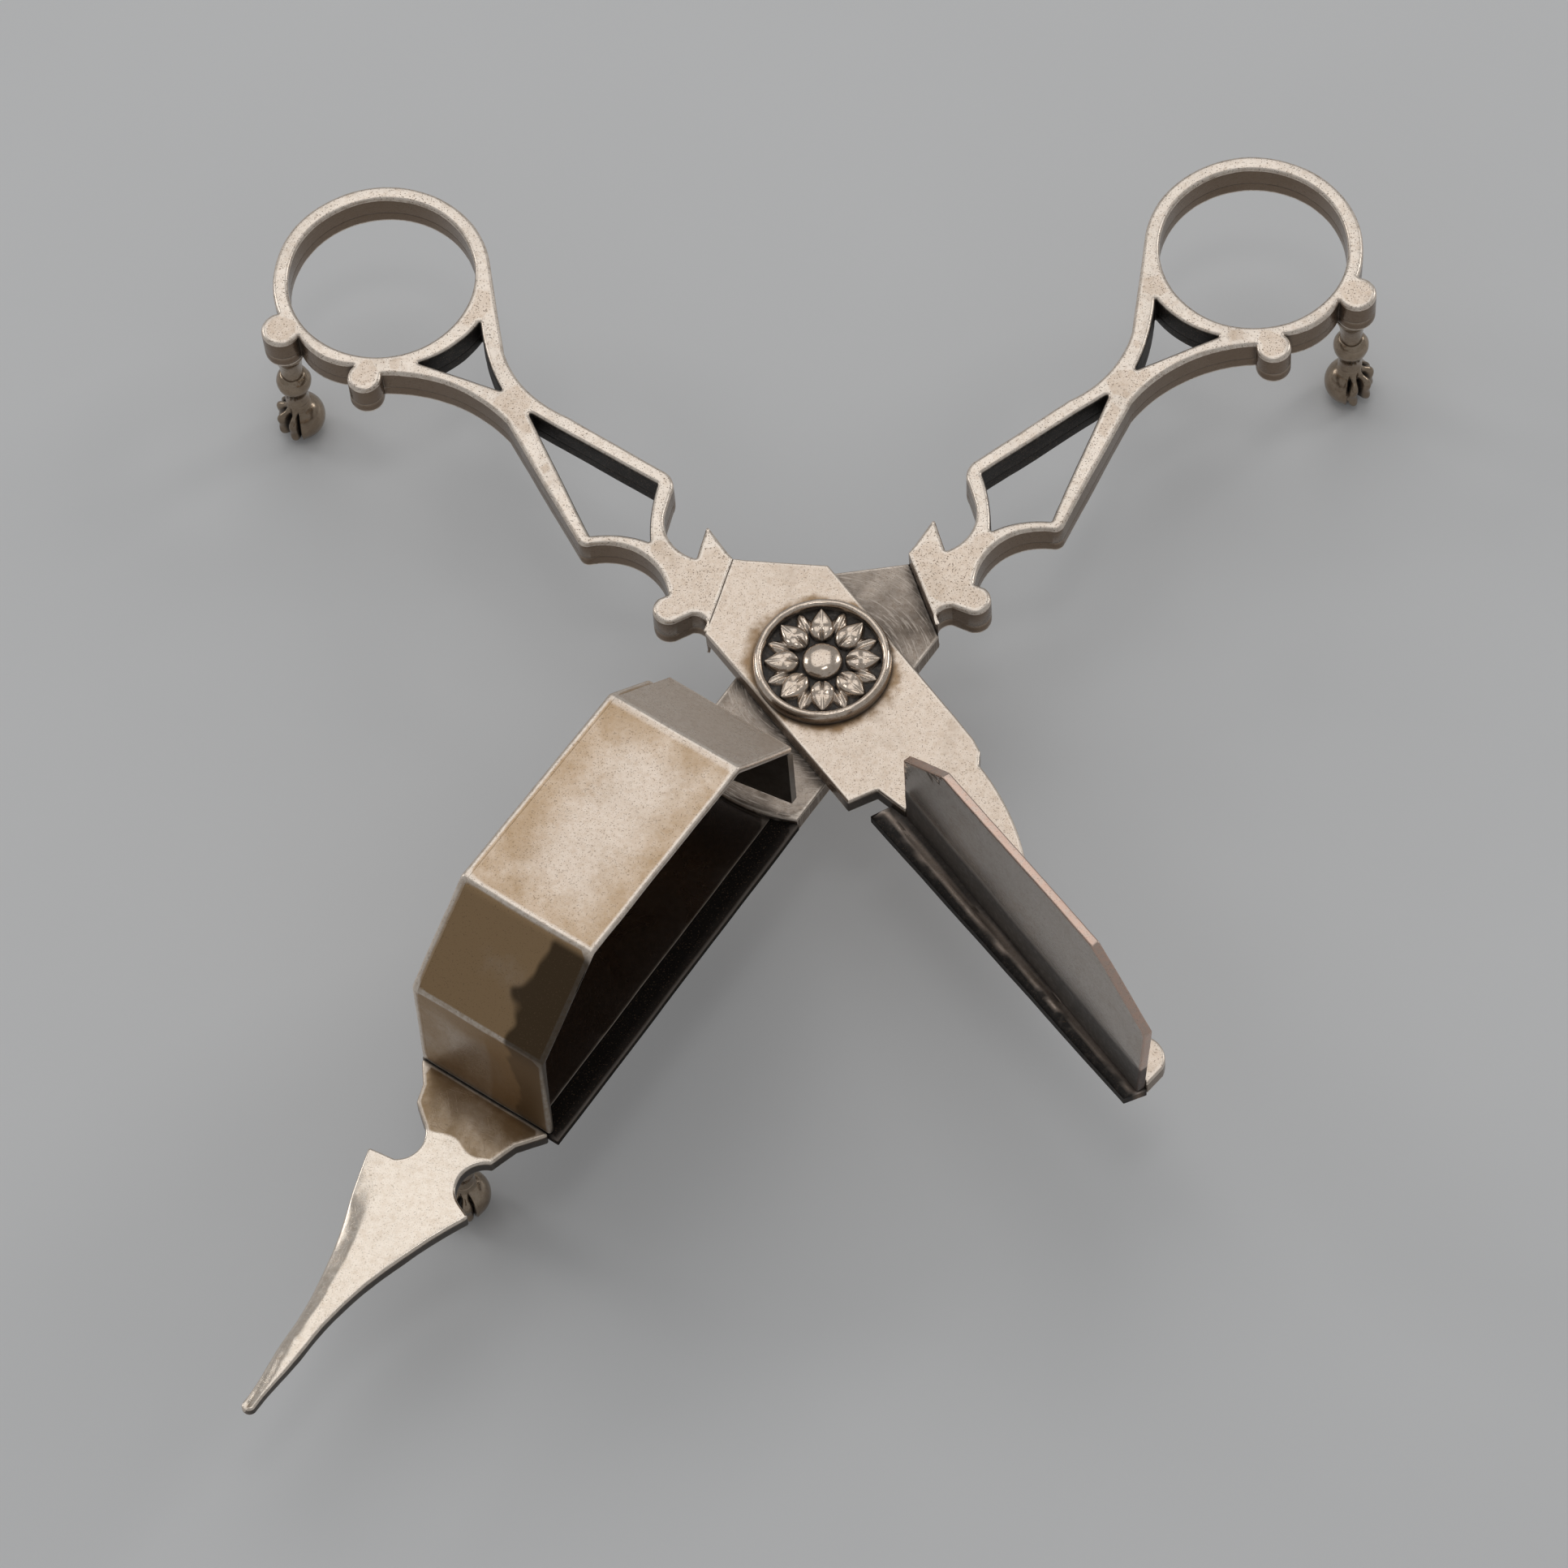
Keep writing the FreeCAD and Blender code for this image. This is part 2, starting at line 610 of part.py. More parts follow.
def foot_paw(name, angle, aside, ahead):
    """Ball gripped by four toes, flattened a little where it rests on the table."""
    reach = "(Sizes.top_height - Sizes.handle_thick)"
    centre_z = "(Sizes.ball_radius - Sizes.ball_flat - %s)" % reach
    ball = doc.addObject("Part::Sphere", name + "_ball")
    ball.setExpression("Radius", "Sizes.ball_radius")
    ball.setExpression("Placement.Base.z", centre_z)
    pieces = [ball]
    ankle = doc.addObject("Part::Cone", name + "_ankle")
    ankle.setExpression("Radius1", "Sizes.ankle_spread")
    ankle.setExpression("Radius2", "Sizes.ankle_radius")
    ankle.setExpression("Height", "-Sizes.ankle_drop - %s - Sizes.ankle_sink" % centre_z)
    ankle.setExpression("Placement.Base.z", centre_z + " + Sizes.ankle_sink")
    pieces.append(ankle)
    for step in range(TOES):
        turn = 360 / TOES * (step + 0.5)
        toe = ellipsoid("%s_toe_%d" % (name, step + 1), turn, "Sizes.toe_aside", centre_z + " + Sizes.toe_lift",
                        ("Sizes.toe_radius", "Sizes.toe_radius", "Sizes.toe_length"))
        pieces.append(toe)
    claw = doc.addObject("Part::MultiFuse", name + "_claw")
    claw.Shapes = pieces
    ground = doc.addObject("Part::Cylinder", name + "_ground")
    ground.setExpression("Radius", "2 * Sizes.ball_radius")
    ground.setExpression("Height", "Sizes.ball_radius")
    ground.setExpression("Placement.Base.z", "-%s - Sizes.ball_radius" % reach)
    paw = doc.addObject("Part::Cut", name)
    paw.Label = name
    paw.Base = claw
    paw.Tool = ground
    doc.recompute()
    return stand(paw, angle, aside, ahead, "-Sizes.handle_thick")


def foot(name, angle, aside, ahead):
    foot_leg(name + "_leg", angle, aside, ahead)
    foot_paw(name + "_paw", angle, aside, ahead)


def turned(name, angle, height, steps):
    """Solid of revolution about the pivot axis."""
    owner = body(name)
    sk = sketch(owner, "XZ_Plane", name + "_profile")
    outline(sk, steps)
    made = owner.newObject("PartDesign::Revolution", name + "_turned")
    made.Profile = sk
    made.ReferenceAxis = (sk, ["V_Axis"])
    made.Angle = 360
    doc.recompute()
    return stand(owner, angle, height=height)


def rosette_rim():
    """Half-round wire ring around the rosette."""
    inner = "Sizes.rosette_radius - Sizes.rosette_rim"
    crown = "Sizes.rosette_radius - Sizes.rosette_rim / 2"
    shoulder = "Sizes.rosette_height - Sizes.rosette_rim / 2"
    return turned("rosette_rim", PLATE_ARM, "0", [
        (inner, "0"), ("Sizes.rosette_radius", "0"), ("Sizes.rosette_radius", shoulder),
        ((crown, "Sizes.rosette_height"), (inner, shoulder)),
    ])


def rosette_flower():
    """Stamped disc with eight petals and eight slim leaves between them."""
    field = doc.addObject("Part::Cylinder", "rosette_field")
    field.setExpression("Radius", "Sizes.rosette_radius - Sizes.rosette_rim")
    field.setExpression("Height", "Sizes.field_height")
    pieces = [field]
    for step in range(PETALS):
        turn = 360 / PETALS * step
        pieces.append(ellipsoid("petal_%d" % (step + 1), turn, "Sizes.petal_middle", "Sizes.field_height",
                                ("Sizes.petal_half_length", "Sizes.petal_half_width", "Sizes.petal_height")))
        turn = 360 / PETALS * (step + 0.5)
        pieces.append(ellipsoid("leaf_%d" % (step + 1), turn, "Sizes.petal_middle", "Sizes.field_height",
                                ("Sizes.leaf_half_length", "Sizes.leaf_half_width", "Sizes.leaf_height")))
    fused = doc.addObject("Part::MultiFuse", "rosette_petals")
    fused.Shapes = pieces
    hole = doc.addObject("Part::Cylinder", "rosette_hole")
    hole.setExpression("Radius", "Sizes.dome_radius")
    hole.setExpression("Height", "Sizes.rosette_height")
    under = doc.addObject("Part::Cylinder", "rosette_under")
    under.setExpression("Radius", "Sizes.rosette_radius")
    under.setExpression("Height", "Sizes.rosette_height")
    under.setExpression("Placement.Base.z", "-Sizes.rosette_height")
    waste = doc.addObject("Part::Fuse", "rosette_waste")
    waste.Base = hole
    waste.Tool = under
    flower = doc.addObject("Part::Cut", "rosette_flower")
    flower.Label = "rosette_flower"
    flower.Base = fused
    flower.Tool = waste
    doc.recompute()
    return stand(flower, FLOWER)


def cap(radius, base, rise):
    """Arc step of a spherical cap: from its edge on the level base to its crown on the axis."""
    slant = "sqrt((%s) ^ 2 + (%s) ^ 2)" % (radius, rise)
    half_way_x = "%s / 2" % slant
    half_way_y = "%s + (%s) + ((%s) - %s) * %s / (2 * (%s))" % (base, rise, radius, slant, slant, rise)
    return ((half_way_x, half_way_y), ("0", "%s + (%s)" % (base, rise)))


def pivot_dome():
    """Domed boss over the rivet, in the middle of the rosette."""
    rise = "Sizes.dome_height - Sizes.field_height"
    return turned("pivot_dome", PLATE_ARM, "0", [
        ("Sizes.dome_radius", "0"), ("Sizes.dome_radius", "Sizes.field_height"),
        cap("Sizes.dome_radius", "Sizes.field_height", rise), ("0", "0"),
    ])


def pivot_pin():
    """Rivet through both halves of the lap, its lower end peened to a low dome."""
    low = "-(Sizes.handle_thick + Sizes.pin_clearance + Sizes.washer_thick)"
    return turned("pivot_pin", PLATE_ARM, "0", [
        ("0", "0"), ("Sizes.pin_radius", "0"), ("Sizes.pin_radius", low),
        cap("Sizes.pin_radius", low, "-Sizes.pin_head"),
    ])


def pivot_washer():
    """Washer under the box arm, held by the peened end of the rivet."""
    top = "-(Sizes.handle_thick + Sizes.pin_clearance)"
    low = top + " - Sizes.washer_thick"
    return turned("pivot_washer", PLATE_ARM, "0", [
        ("Sizes.pin_radius", top), ("Sizes.washer_radius", top), ("Sizes.washer_radius", low),
        ("Sizes.pin_radius", low),
    ])


BOX_ARM = "Sizes.box_arm_angle"
PLATE_ARM = "Sizes.plate_arm_angle"
LAP_END_Y = "-sqrt(Sizes.lap_end_radius ^ 2 - Sizes.arm_half_width ^ 2)"
FLOOR_END_Y = "-sqrt(Sizes.lap_end_radius ^ 2 - Sizes.floor_edge ^ 2)"
BLADE_BACK = "Sizes.blade_face + Sizes.blade_thick"
BOX_SIDE = "Sizes.mouth_side - Sizes.box_width"
FLOWER = "0"
TOES = 4
PETALS = 8


def build():
    """Make every sub-part in its place."""
    handle("box_handle", 1, BOX_ARM)
    box_lamina()
    box_floor()
    shear_strip()
    box_roof()
    box_side()
    box_rear_wall()
    spear_tip()
    foot("box_foot", BOX_ARM, "Sizes.foot_aside", "Sizes.foot_ahead")
    foot("front_foot", BOX_ARM, "Sizes.front_foot_aside", "Sizes.front_foot_ahead")
    handle("plate_handle", -1, PLATE_ARM)
    pivot_plate()
    cutter_strip()
    snuffer_blade()
    foot("plate_foot", PLATE_ARM, "-Sizes.foot_aside", "Sizes.foot_ahead")
    pivot_pin()
    pivot_washer()
    rosette_rim()
    rosette_flower()
    pivot_dome()


def nodes():
    """Finished sub-parts: bodies and booleans that nothing else uses."""
    used = set()
    for obj in doc.Objects:
        if obj.TypeId.startswith("Part::"):
            used.update(child.Name for child in obj.OutList)
    kinds = ("PartDesign::Body", "Part::Cut", "Part::Common")
    return [obj for obj in doc.Objects if obj.TypeId in kinds and obj.Name not in used]


def extent(obj):
    """Tight bounding box of a sub-part."""
    return obj.Shape.optimalBoundingBox(False, False)


def centre_on_origin():
    """Put the middle of the whole object's footprint over the origin."""
    box = FreeCAD.BoundBox()
    for obj in nodes():
        box.add(extent(obj))
    sheet.set("pivot_x", str(round(size("pivot_x") - box.Center.x, 4)))
    sheet.set("pivot_y", str(round(size("pivot_y") - box.Center.y, 4)))
    doc.recompute()
    print("pivot at %.4f %.4f, overall %.3f x %.3f x %.3f mm" % (
        size("pivot_x"), size("pivot_y"), box.XLength, box.YLength, box.ZLength))


def check():
    """Stop if anything failed to recompute or is not a valid solid."""
    for obj in doc.Objects:
        if "Invalid" in obj.State or "Error" in obj.State:
            raise RuntimeError("%s: %s" % (obj.Name, obj.State))
    for obj in nodes():
        shape = obj.Shape
        if shape.isNull() or not shape.isValid() or len(shape.Solids) != 1:
            raise RuntimeError("%s is not one valid solid" % obj.Label)


def export():
    os.makedirs("parts", exist_ok=True)
    for obj in nodes():
        obj.Shape.exportStep("parts/" + obj.Label + ".step")
        box = extent(obj)
        print("%-18s %9.1f mm3  x %.1f..%.1f  y %.1f..%.1f  z %.2f..%.2f" % (
            obj.Label, obj.Shape.Volume, box.XMin, box.XMax, box.YMin, box.YMax, box.ZMin, box.ZMax))


fill_sheet()
build()
doc.recompute()
check()
centre_on_origin()
check()
export()
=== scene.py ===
"""Looks of the candle snuffer scissors: worn, tarnished silver on a plain pale floor.

Flat pieces are rebuilt from their outlines with worn, rounded edges.  They are worked out in
millimetres in the frame of their arm: the pivot axis is Z, the arm's front end runs towards -Y and
z = 0 is the upper face of both handles.
"""

import json
import math

import bpy
import numpy as np
from mathutils import Matrix, Vector, noise
from mathutils.geometry import delaunay_2d_cdt


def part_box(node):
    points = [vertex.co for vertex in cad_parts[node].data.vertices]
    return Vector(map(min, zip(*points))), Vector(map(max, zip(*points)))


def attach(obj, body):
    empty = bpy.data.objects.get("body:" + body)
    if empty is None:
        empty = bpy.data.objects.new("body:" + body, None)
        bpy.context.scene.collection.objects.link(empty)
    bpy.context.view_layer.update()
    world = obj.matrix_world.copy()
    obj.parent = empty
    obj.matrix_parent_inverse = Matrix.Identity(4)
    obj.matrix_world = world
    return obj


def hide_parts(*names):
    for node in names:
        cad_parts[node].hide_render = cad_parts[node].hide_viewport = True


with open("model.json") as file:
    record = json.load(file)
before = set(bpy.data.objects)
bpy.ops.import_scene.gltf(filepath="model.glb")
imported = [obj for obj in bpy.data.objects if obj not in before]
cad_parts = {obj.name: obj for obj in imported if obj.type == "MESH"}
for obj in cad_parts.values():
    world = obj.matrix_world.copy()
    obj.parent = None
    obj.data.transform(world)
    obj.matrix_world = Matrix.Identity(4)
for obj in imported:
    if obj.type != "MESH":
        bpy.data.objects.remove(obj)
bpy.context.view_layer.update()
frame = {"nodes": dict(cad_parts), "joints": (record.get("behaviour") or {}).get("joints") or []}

# Blender seeds its vector noise from the clock, so a fixed seed keeps the shapes the same on every run.
WANDER_SEED = 1
noise.seed_set(WANDER_SEED)

# ---------------------------------------------------------------- frame and driving sizes

MM = 0.001
BOX_ANGLE = -34.7
PLATE_ANGLE = 35.3
SEAM = ((0.0, 15.2), (7.2, 9.8))

hinge = frame["joints"][0]
pivot = Vector(hinge["pos_m"]) / MM
top_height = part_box("box_handle")[1].z / MM


def arm_frame(angle):
    """From millimetres in an arm's frame to metres in the row frame."""
    place = Matrix.Translation((pivot.x * MM, pivot.y * MM, top_height * MM))
    return place @ Matrix.Rotation(math.radians(angle), 4, "Z") @ Matrix.Scale(MM, 4)


BOX_FRAME = arm_frame(BOX_ANGLE)
PLATE_FRAME = arm_frame(PLATE_ANGLE)
SQUARE_FRAME = arm_frame(0.0)


# ---------------------------------------------------------------- outlines

def cap_loops(node, matrix, along_x):
    """Outline loops of a prism's upper end, metal on their left, and the levels of its two ends."""
    to_local = matrix.inverted()
    mesh = frame["nodes"][node].data
    points = [to_local @ vertex.co for vertex in mesh.vertices]
    if along_x:
        points = [Vector((p.y, p.z, p.x)) for p in points]
    low = min(p.z for p in points)
    high = max(p.z for p in points)
    near = 0.01
    follows = {}
    for polygon in mesh.polygons:
        corners = [points[i] for i in polygon.vertices]
        if min(p.z for p in corners) < high - near:
            continue
        keys = [(round(p.x, 3), round(p.y, 3)) for p in corners]
        for start, end in zip(keys, keys[1:] + keys[:1]):
            if (end, start) in follows:
                del follows[(end, start)]
            else:
                follows[(start, end)] = True
    next_point = dict(follows.keys())
    loops = []
    while next_point:
        start = min(next_point)
        loop = [start]
        point = next_point.pop(start)
        while point != start:
            loop.append(point)
            point = next_point.pop(point)
        loops.append([Vector(p) for p in loop])
    loops.sort(key=len, reverse=True)
    return loops, low, high


def soften_corners(loop, radius, sharp=math.radians(22)):
    """The loop with an arc in place of each sharp corner, and a flag on every point of such an arc."""
    count = len(loop)
    points = []
    flags = []
    for i, corner in enumerate(loop):
        before = corner - loop[i - 1]
        after = loop[(i + 1) % count] - corner
        turn = before.angle_signed(after, 0.0)
        if abs(turn) < sharp:
            points.append(corner)
            flags.append(False)
            continue
        reach = min(radius * math.tan(abs(turn) / 2), 0.45 * before.length, 0.45 * after.length)
        start = corner - before.normalized() * reach
        end = corner + after.normalized() * reach
        steps = max(2, round(abs(turn) / math.radians(18)))
        for step in range(steps + 1):
            share = step / steps
            blend = start * (1 - share) ** 2 + corner * 2 * share * (1 - share) + end * share ** 2
            points.append(blend)
            flags.append(True)
    return points, flags


def split_long_edges(points, flags, step):
    """The loop with points added so that no edge is longer than the step."""
    made = []
    marks = []
    for i, point in enumerate(points):
        end = points[(i + 1) % len(points)]
        parts = max(1, math.ceil((end - point).length / step))
        for part in range(parts):
            made.append(point.lerp(end, part / parts))
            marks.append(flags[i] and part == 0)
    return made, marks


def corner_distance(points, flags):
    """Distance along the loop from each point to the nearest softened corner."""
    count = len(points)
    far = 1e3
    distance = [0.0 if flag else far for flag in flags]
    for _ in range(2):
        for i in range(count):
            step = (points[i] - points[i - 1]).length
            distance[i] = min(distance[i], distance[i - 1] + step)
        for i in range(count - 1, -1, -1):
            step = (points[(i + 1) % count] - points[i]).length
            distance[i] = min(distance[i], distance[(i + 1) % count] + step)
    return distance


def inward(points):
    """For each point of a loop, the step that moves it one unit into the metal."""
    steps = []
    count = len(points)
    for i, point in enumerate(points):
        before = (point - points[i - 1]).normalized()
        after = (points[(i + 1) % count] - point).normalized()
        one = Vector((-before.y, before.x))
        two = Vector((-after.y, after.x))
        steps.append((one + two) / max(0.45, 1 + one.dot(two)))
    return steps


def segments(loops):
    starts = np.array([p[:2] for loop in loops for p in loop])
    ends = np.array([p[:2] for loop in loops for p in loop[1:] + loop[:1]])
    return starts, ends


def is_inside(points, loops):
    """Even-odd test of many points against a set of loops."""
    starts, ends = segments(loops)
    x = points[:, 0:1]
    y = points[:, 1:2]
    spans = (starts[:, 1] > y) != (ends[:, 1] > y)
    rise = ends[:, 1] - starts[:, 1]
    rise = np.where(np.abs(rise) < 1e-9, 1e-9, rise)
    cross_x = starts[:, 0] + (y - starts[:, 1]) * (ends[:, 0] - starts[:, 0]) / rise
    return (np.sum(spans & (x < cross_x), axis=1) % 2) == 1


def outline_distance(points, loops):
    """Distance from each of many points to the nearest edge of the loops."""
    starts, ends = segments(loops)
    along = ends - starts
    length = np.maximum(np.sum(along ** 2, axis=1), 1e-12)
    gap = points[:, None, :] - starts[None, :, :]
    share = np.clip(np.sum(gap * along, axis=2) / length, 0, 1)
    nearest = starts + share[..., None] * along
    return np.sqrt(np.min(np.sum((points[:, None, :] - nearest) ** 2, axis=2), axis=1))


# ---------------------------------------------------------------- pieces

def hand_worked(point, amount):
    """Small wander of a surface that was filed and polished by hand."""
    slow = noise.noise_vector(point * 0.17)
    quick = noise.noise_vector(point * 0.9 + Vector((11.0, 5.0, 3.0)))
    return point + (slow * 1.2 + quick * 0.35) * amount


def finish_piece(name, vertices, faces, matrix, body, material, replaced, marks, smooth=40):
    """Mesh object from points in an arm's frame, riding on its body; marks are named point values."""
    mesh = bpy.data.meshes.new(name)
    mesh.from_pydata([matrix @ v for v in vertices], [], faces)
    for mark, values in marks.items():
        layer = mesh.attributes.new(mark, "FLOAT", "POINT")
        layer.data.foreach_set("value", values)
    mesh.validate()
    mesh.shade_smooth()
    mesh.set_sharp_from_angle(angle=math.radians(smooth))
    piece = bpy.data.objects.new(name, mesh)
    bpy.context.scene.collection.objects.link(piece)
    weighted = piece.modifiers.new("weighted", "WEIGHTED_NORMAL")
    weighted.keep_sharp = True
    mesh.materials.append(material)
    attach(piece, body)
    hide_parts(*replaced)


def quarter_round(radius, steps=4):
    """Pairs of inset and drop along a rounded edge, from the side face up to the end face."""
    made = []
    for step in range(steps + 1):
        turn = math.pi / 2 * step / steps
        made.append((radius * (1 - math.cos(turn)), radius * (1 - math.sin(turn))))
    return made


def slab(node, matrix, body, material, along_x=False, upper=0.4, lower=0.25, corner=0.25,
         step=1.1, grid=1.3, wander=0.05, groove=None, crisp=None, shape=None, blackening_and_shade=None):
    """Flat piece with worn edges.

    upper and lower are the radii of the edges at its two ends, corner that of the outline's corners,
    groove the depth of a parting line on its side faces, crisp a line along which the edge is sharper,
    shape a function that moves a finished point and soot one that tells how black a point is.
    """
    raw_loops, low, high = cap_loops(node, matrix, along_x)
    loops = []
    folds = []
    windows = []
    for raw in raw_loops:
        points, flags = soften_corners(raw, corner)
        points, flags = split_long_edges(points, flags, step)
        loops.append(points)
        folds.append(corner_distance(points, flags))
        windows.append(is_window(points))

    def keep(point):
        if crisp is None:
            return 1.0
        start, end = Vector(crisp[0]), Vector(crisp[1])
        along = (end - start).normalized()
        gap = point - start
        aside = abs(gap.x * along.y - gap.y * along.x)
        fade = 0.6
        return 0.5 + 0.5 * min(1.0, aside / fade)

    joint = 0.05
    low_edge = 0.5 if lower < joint else 0.0
    high_edge = 0.5 if upper < joint else 0.0
    rings = [(inset, low + drop, low_edge, True) for inset, drop in reversed(quarter_round(lower))]
    side_low = low + lower
    side_high = high - upper
    band = min(0.3, (side_high - side_low) / 4)
    if along_x:
        count = max(1, round((side_high - side_low) / step))
        levels = [side_low + (side_high - side_low) * i / count for i in range(1, count)]
    else:
        levels = [side_low + band, side_high - band]
    flanks = [(0.0, level, max(band, min(level - low, high - level)), False) for level in levels]
    if groove is not None:
        depth, width = 0.045, 0.07
        middle = high - groove
        flanks[1:1] = [(0.0, middle - width, 0.3, False), (depth, middle, 0.3, False),
                       (0.0, middle + width, 0.3, False)]
    rings += flanks
    rings += [(inset, high - drop, high_edge, True) for inset, drop in quarter_round(upper)]

    vertices = []
    faces = []
    border = []
    black = []
    first = []
    for points, fold, window in zip(loops, folds, windows):
        moves = inward(points)
        softness = [keep(p) for p in points]
        base = len(vertices)
        first.append(base)
        for ring, (inset, level, edge, rounding) in enumerate(rings):
            on_top = ring > len(rings) - 4
            for point, move, soft, near in zip(points, moves, softness, fold):
                share = soft if rounding else 1.0
                end = high if level > (low + high) / 2 else low
                spot = point + move * inset * share
                vertices.append(Vector((spot.x, spot.y, end + (level - end) * share)))
                border.append(min(edge, near) if along_x else edge)
                dent = groove is not None and inset > 0 and not rounding
                black.append(1.0 if dent or (window and not on_top) else 0.0)
        size = len(points)
        for ring in range(len(rings) - 1):
            for i in range(size):
                j = (i + 1) % size
                one = base + ring * size
                two = one + size
                faces.append((one + i, one + j, two + j, two + i))

    for end, ring in ((0, 0), (1, len(rings) - 1)):
        outline = []
        index = []
        for base, points in zip(first, loops):
            size = len(points)
            start = base + ring * size
            outline.append([vertices[start + i].xy for i in range(size)])
            index.append(list(range(start, start + size)))
        level = high if end else low
        add_cap(vertices, faces, border, outline, index, level, grid, upwards=bool(end))

    black += [0.0] * (len(vertices) - len(black))
    if blackening_and_shade is not None:
        black = [max(value, blackening_and_shade(v)) for value, v in zip(black, vertices)]
    if shape is not None:
        vertices = [shape(v) for v in vertices]
    if along_x:
        vertices = [Vector((v.z, v.x, v.y)) for v in vertices]
    vertices = [hand_worked(v, wander) for v in vertices]
    marks = {"border": border, "blackening_and_shade": black}
    finish_piece(node + "_metal", vertices, faces, matrix, body, material, [node], marks)


def is_window(points):
    """True for the small openings of a handle, whose upright inner walls are coloured black; the finger
    ring's are not.
    """
    area = sum(a.cross(b) for a, b in zip(points, points[1:] + points[:1])) / 2
    return -150.0 < area < -8.0


def add_cap(vertices, faces, border, outline, index, level, grid, upwards):
    """Triangulates one end of a slab, with inner points so that it isn't perfectly flat."""
    flat = [point for loop in outline for point in loop]
    known = [number for loop in index for number in loop]
    corners = np.array([p[:] for p in flat])
    lowest = corners.min(axis=0)
    highest = corners.max(axis=0)
    columns = np.arange(lowest[0] + grid / 2, highest[0], grid)
    rows = np.arange(lowest[1] + grid / 2, highest[1], grid)
    if len(columns) and len(rows):
        field = np.array(np.meshgrid(columns, rows)).reshape(2, -1).T
        field = field[is_inside(field, outline)]
        if len(field):
            field = field[outline_distance(field, outline) > grid * 0.35]
    else:
        field = np.zeros((0, 2))
    edges = []
    start = 0
    for loop in outline:
        size = len(loop)
        edges += [(start + i, start + (i + 1) % size) for i in range(size)]
        start += size
    spots = flat + [Vector(point) for point in field]
    coords, _, triangles, origins, _, _ = delaunay_2d_cdt(spots, edges, [], 0, 1e-5)
    centres = np.array([sum((coords[i] for i in t), Vector((0, 0))) / 3 for t in triangles])
    kept = is_inside(centres, outline)
    reach = outline_distance(np.array([c[:] for c in coords]), outline)
    number = {}
    for triangle, inside in zip(triangles, kept):
        if not inside:
            continue
        corners = []
        for i in triangle:
            if i not in number:
                source = min(origins[i]) if origins[i] else len(flat)
                if source < len(flat):
                    number[i] = known[source]
                else:
                    number[i] = len(vertices)
                    vertices.append(Vector((coords[i].x, coords[i].y, level)))
                    border.append(float(reach[i]))
            corners.append(number[i])
        a, b, c = (coords[i] for i in triangle)
        turned = (b - a).cross(c - a) < 0
        if turned == upwards:
            corners.reverse()
        if len(set(corners)) == 3:
            faces.append(tuple(corners))


def lathe(profile, count, warp=None):
    """Vertices and faces of a surface turned about Z; a profile point at radius 0 closes it."""
    vertices = []
    rows = []
    for radius, height in profile:
        if radius < 1e-6:
            rows.append([len(vertices)] * count)
            vertices.append(Vector((0, 0, height)))
            continue
        rows.append(list(range(len(vertices), len(vertices) + count)))
        for i in range(count):
            turn = 2 * math.pi * i / count
            vertices.append(Vector((radius * math.cos(turn), radius * math.sin(turn), height)))
    faces = []
    for one, two in zip(rows, rows[1:]):
        for i in range(count):
            j = (i + 1) % count
            corners = []
            for corner in (one[i], one[j], two[j], two[i]):
                if corner not in corners:
                    corners.append(corner)
            if len(corners) > 2:
                faces.append(tuple(corners))
    if warp is not None:
        vertices = [warp(v) for v in vertices]
    return vertices, faces


def smooth_step(low, high, value):
    share = min(1.0, max(0.0, (value - low) / (high - low)))
    return share * share * (3 - 2 * share)


# ---------------------------------------------------------------- feet

BALL_RADIUS = 2.55
BALL_CENTRE = 2.43
CLAW_HALF_ANGLE = math.radians(66)
TOE_ANGLES = [math.radians(a) for a in (-46, 0, 46)]


def leg_profile(top, ankle):
    """Turned leg from the handle down: collar, neck, round bulb and ankle."""
    bulb_radius = 1.84
    bulb_middle = top - 5.9
    made = [(0.0, top), (1.85, top), (1.87, top - 0.25), (1.78, top - 0.5)]
    neck_low = bulb_middle + 1.42
    for step in range(1, 9):
        share = step / 8
        waist = 1.12 + 0.6 * (1 - share) ** 2.5
        made.append((waist, top - 0.5 + (neck_low - top + 0.5) * share))
    steps = 18
    start = math.asin(1.16 / bulb_radius)
    for step in range(steps + 1):
        polar = start + (math.pi - 2 * start) * step / steps
        made.append((bulb_radius * math.sin(polar), bulb_middle + bulb_radius * math.cos(polar)))
    made += [(1.18, ankle + 0.5), (1.25, ankle), (0.0, ankle)]
    made.reverse()
    return made


def foot_leg(name, body, material):
    low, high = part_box(name)
    centre = (low + high) / 2
    place = Matrix.Translation((centre.x, centre.y, 0.0)) @ Matrix.Scale(MM, 4)

    def cast(v):
        return hand_worked(v + noise.noise_vector(v * 1.1) * 0.05, 0.1)

    vertices, faces = lathe(leg_profile(high.z / MM, low.z / MM), 56, cast)
    marks = {"border": [1.0] * len(vertices), "blackening_and_shade": [0.0] * len(vertices)}
    finish_piece(name + "_metal", vertices, faces, place, body, material, [name],
                 marks, smooth=60)


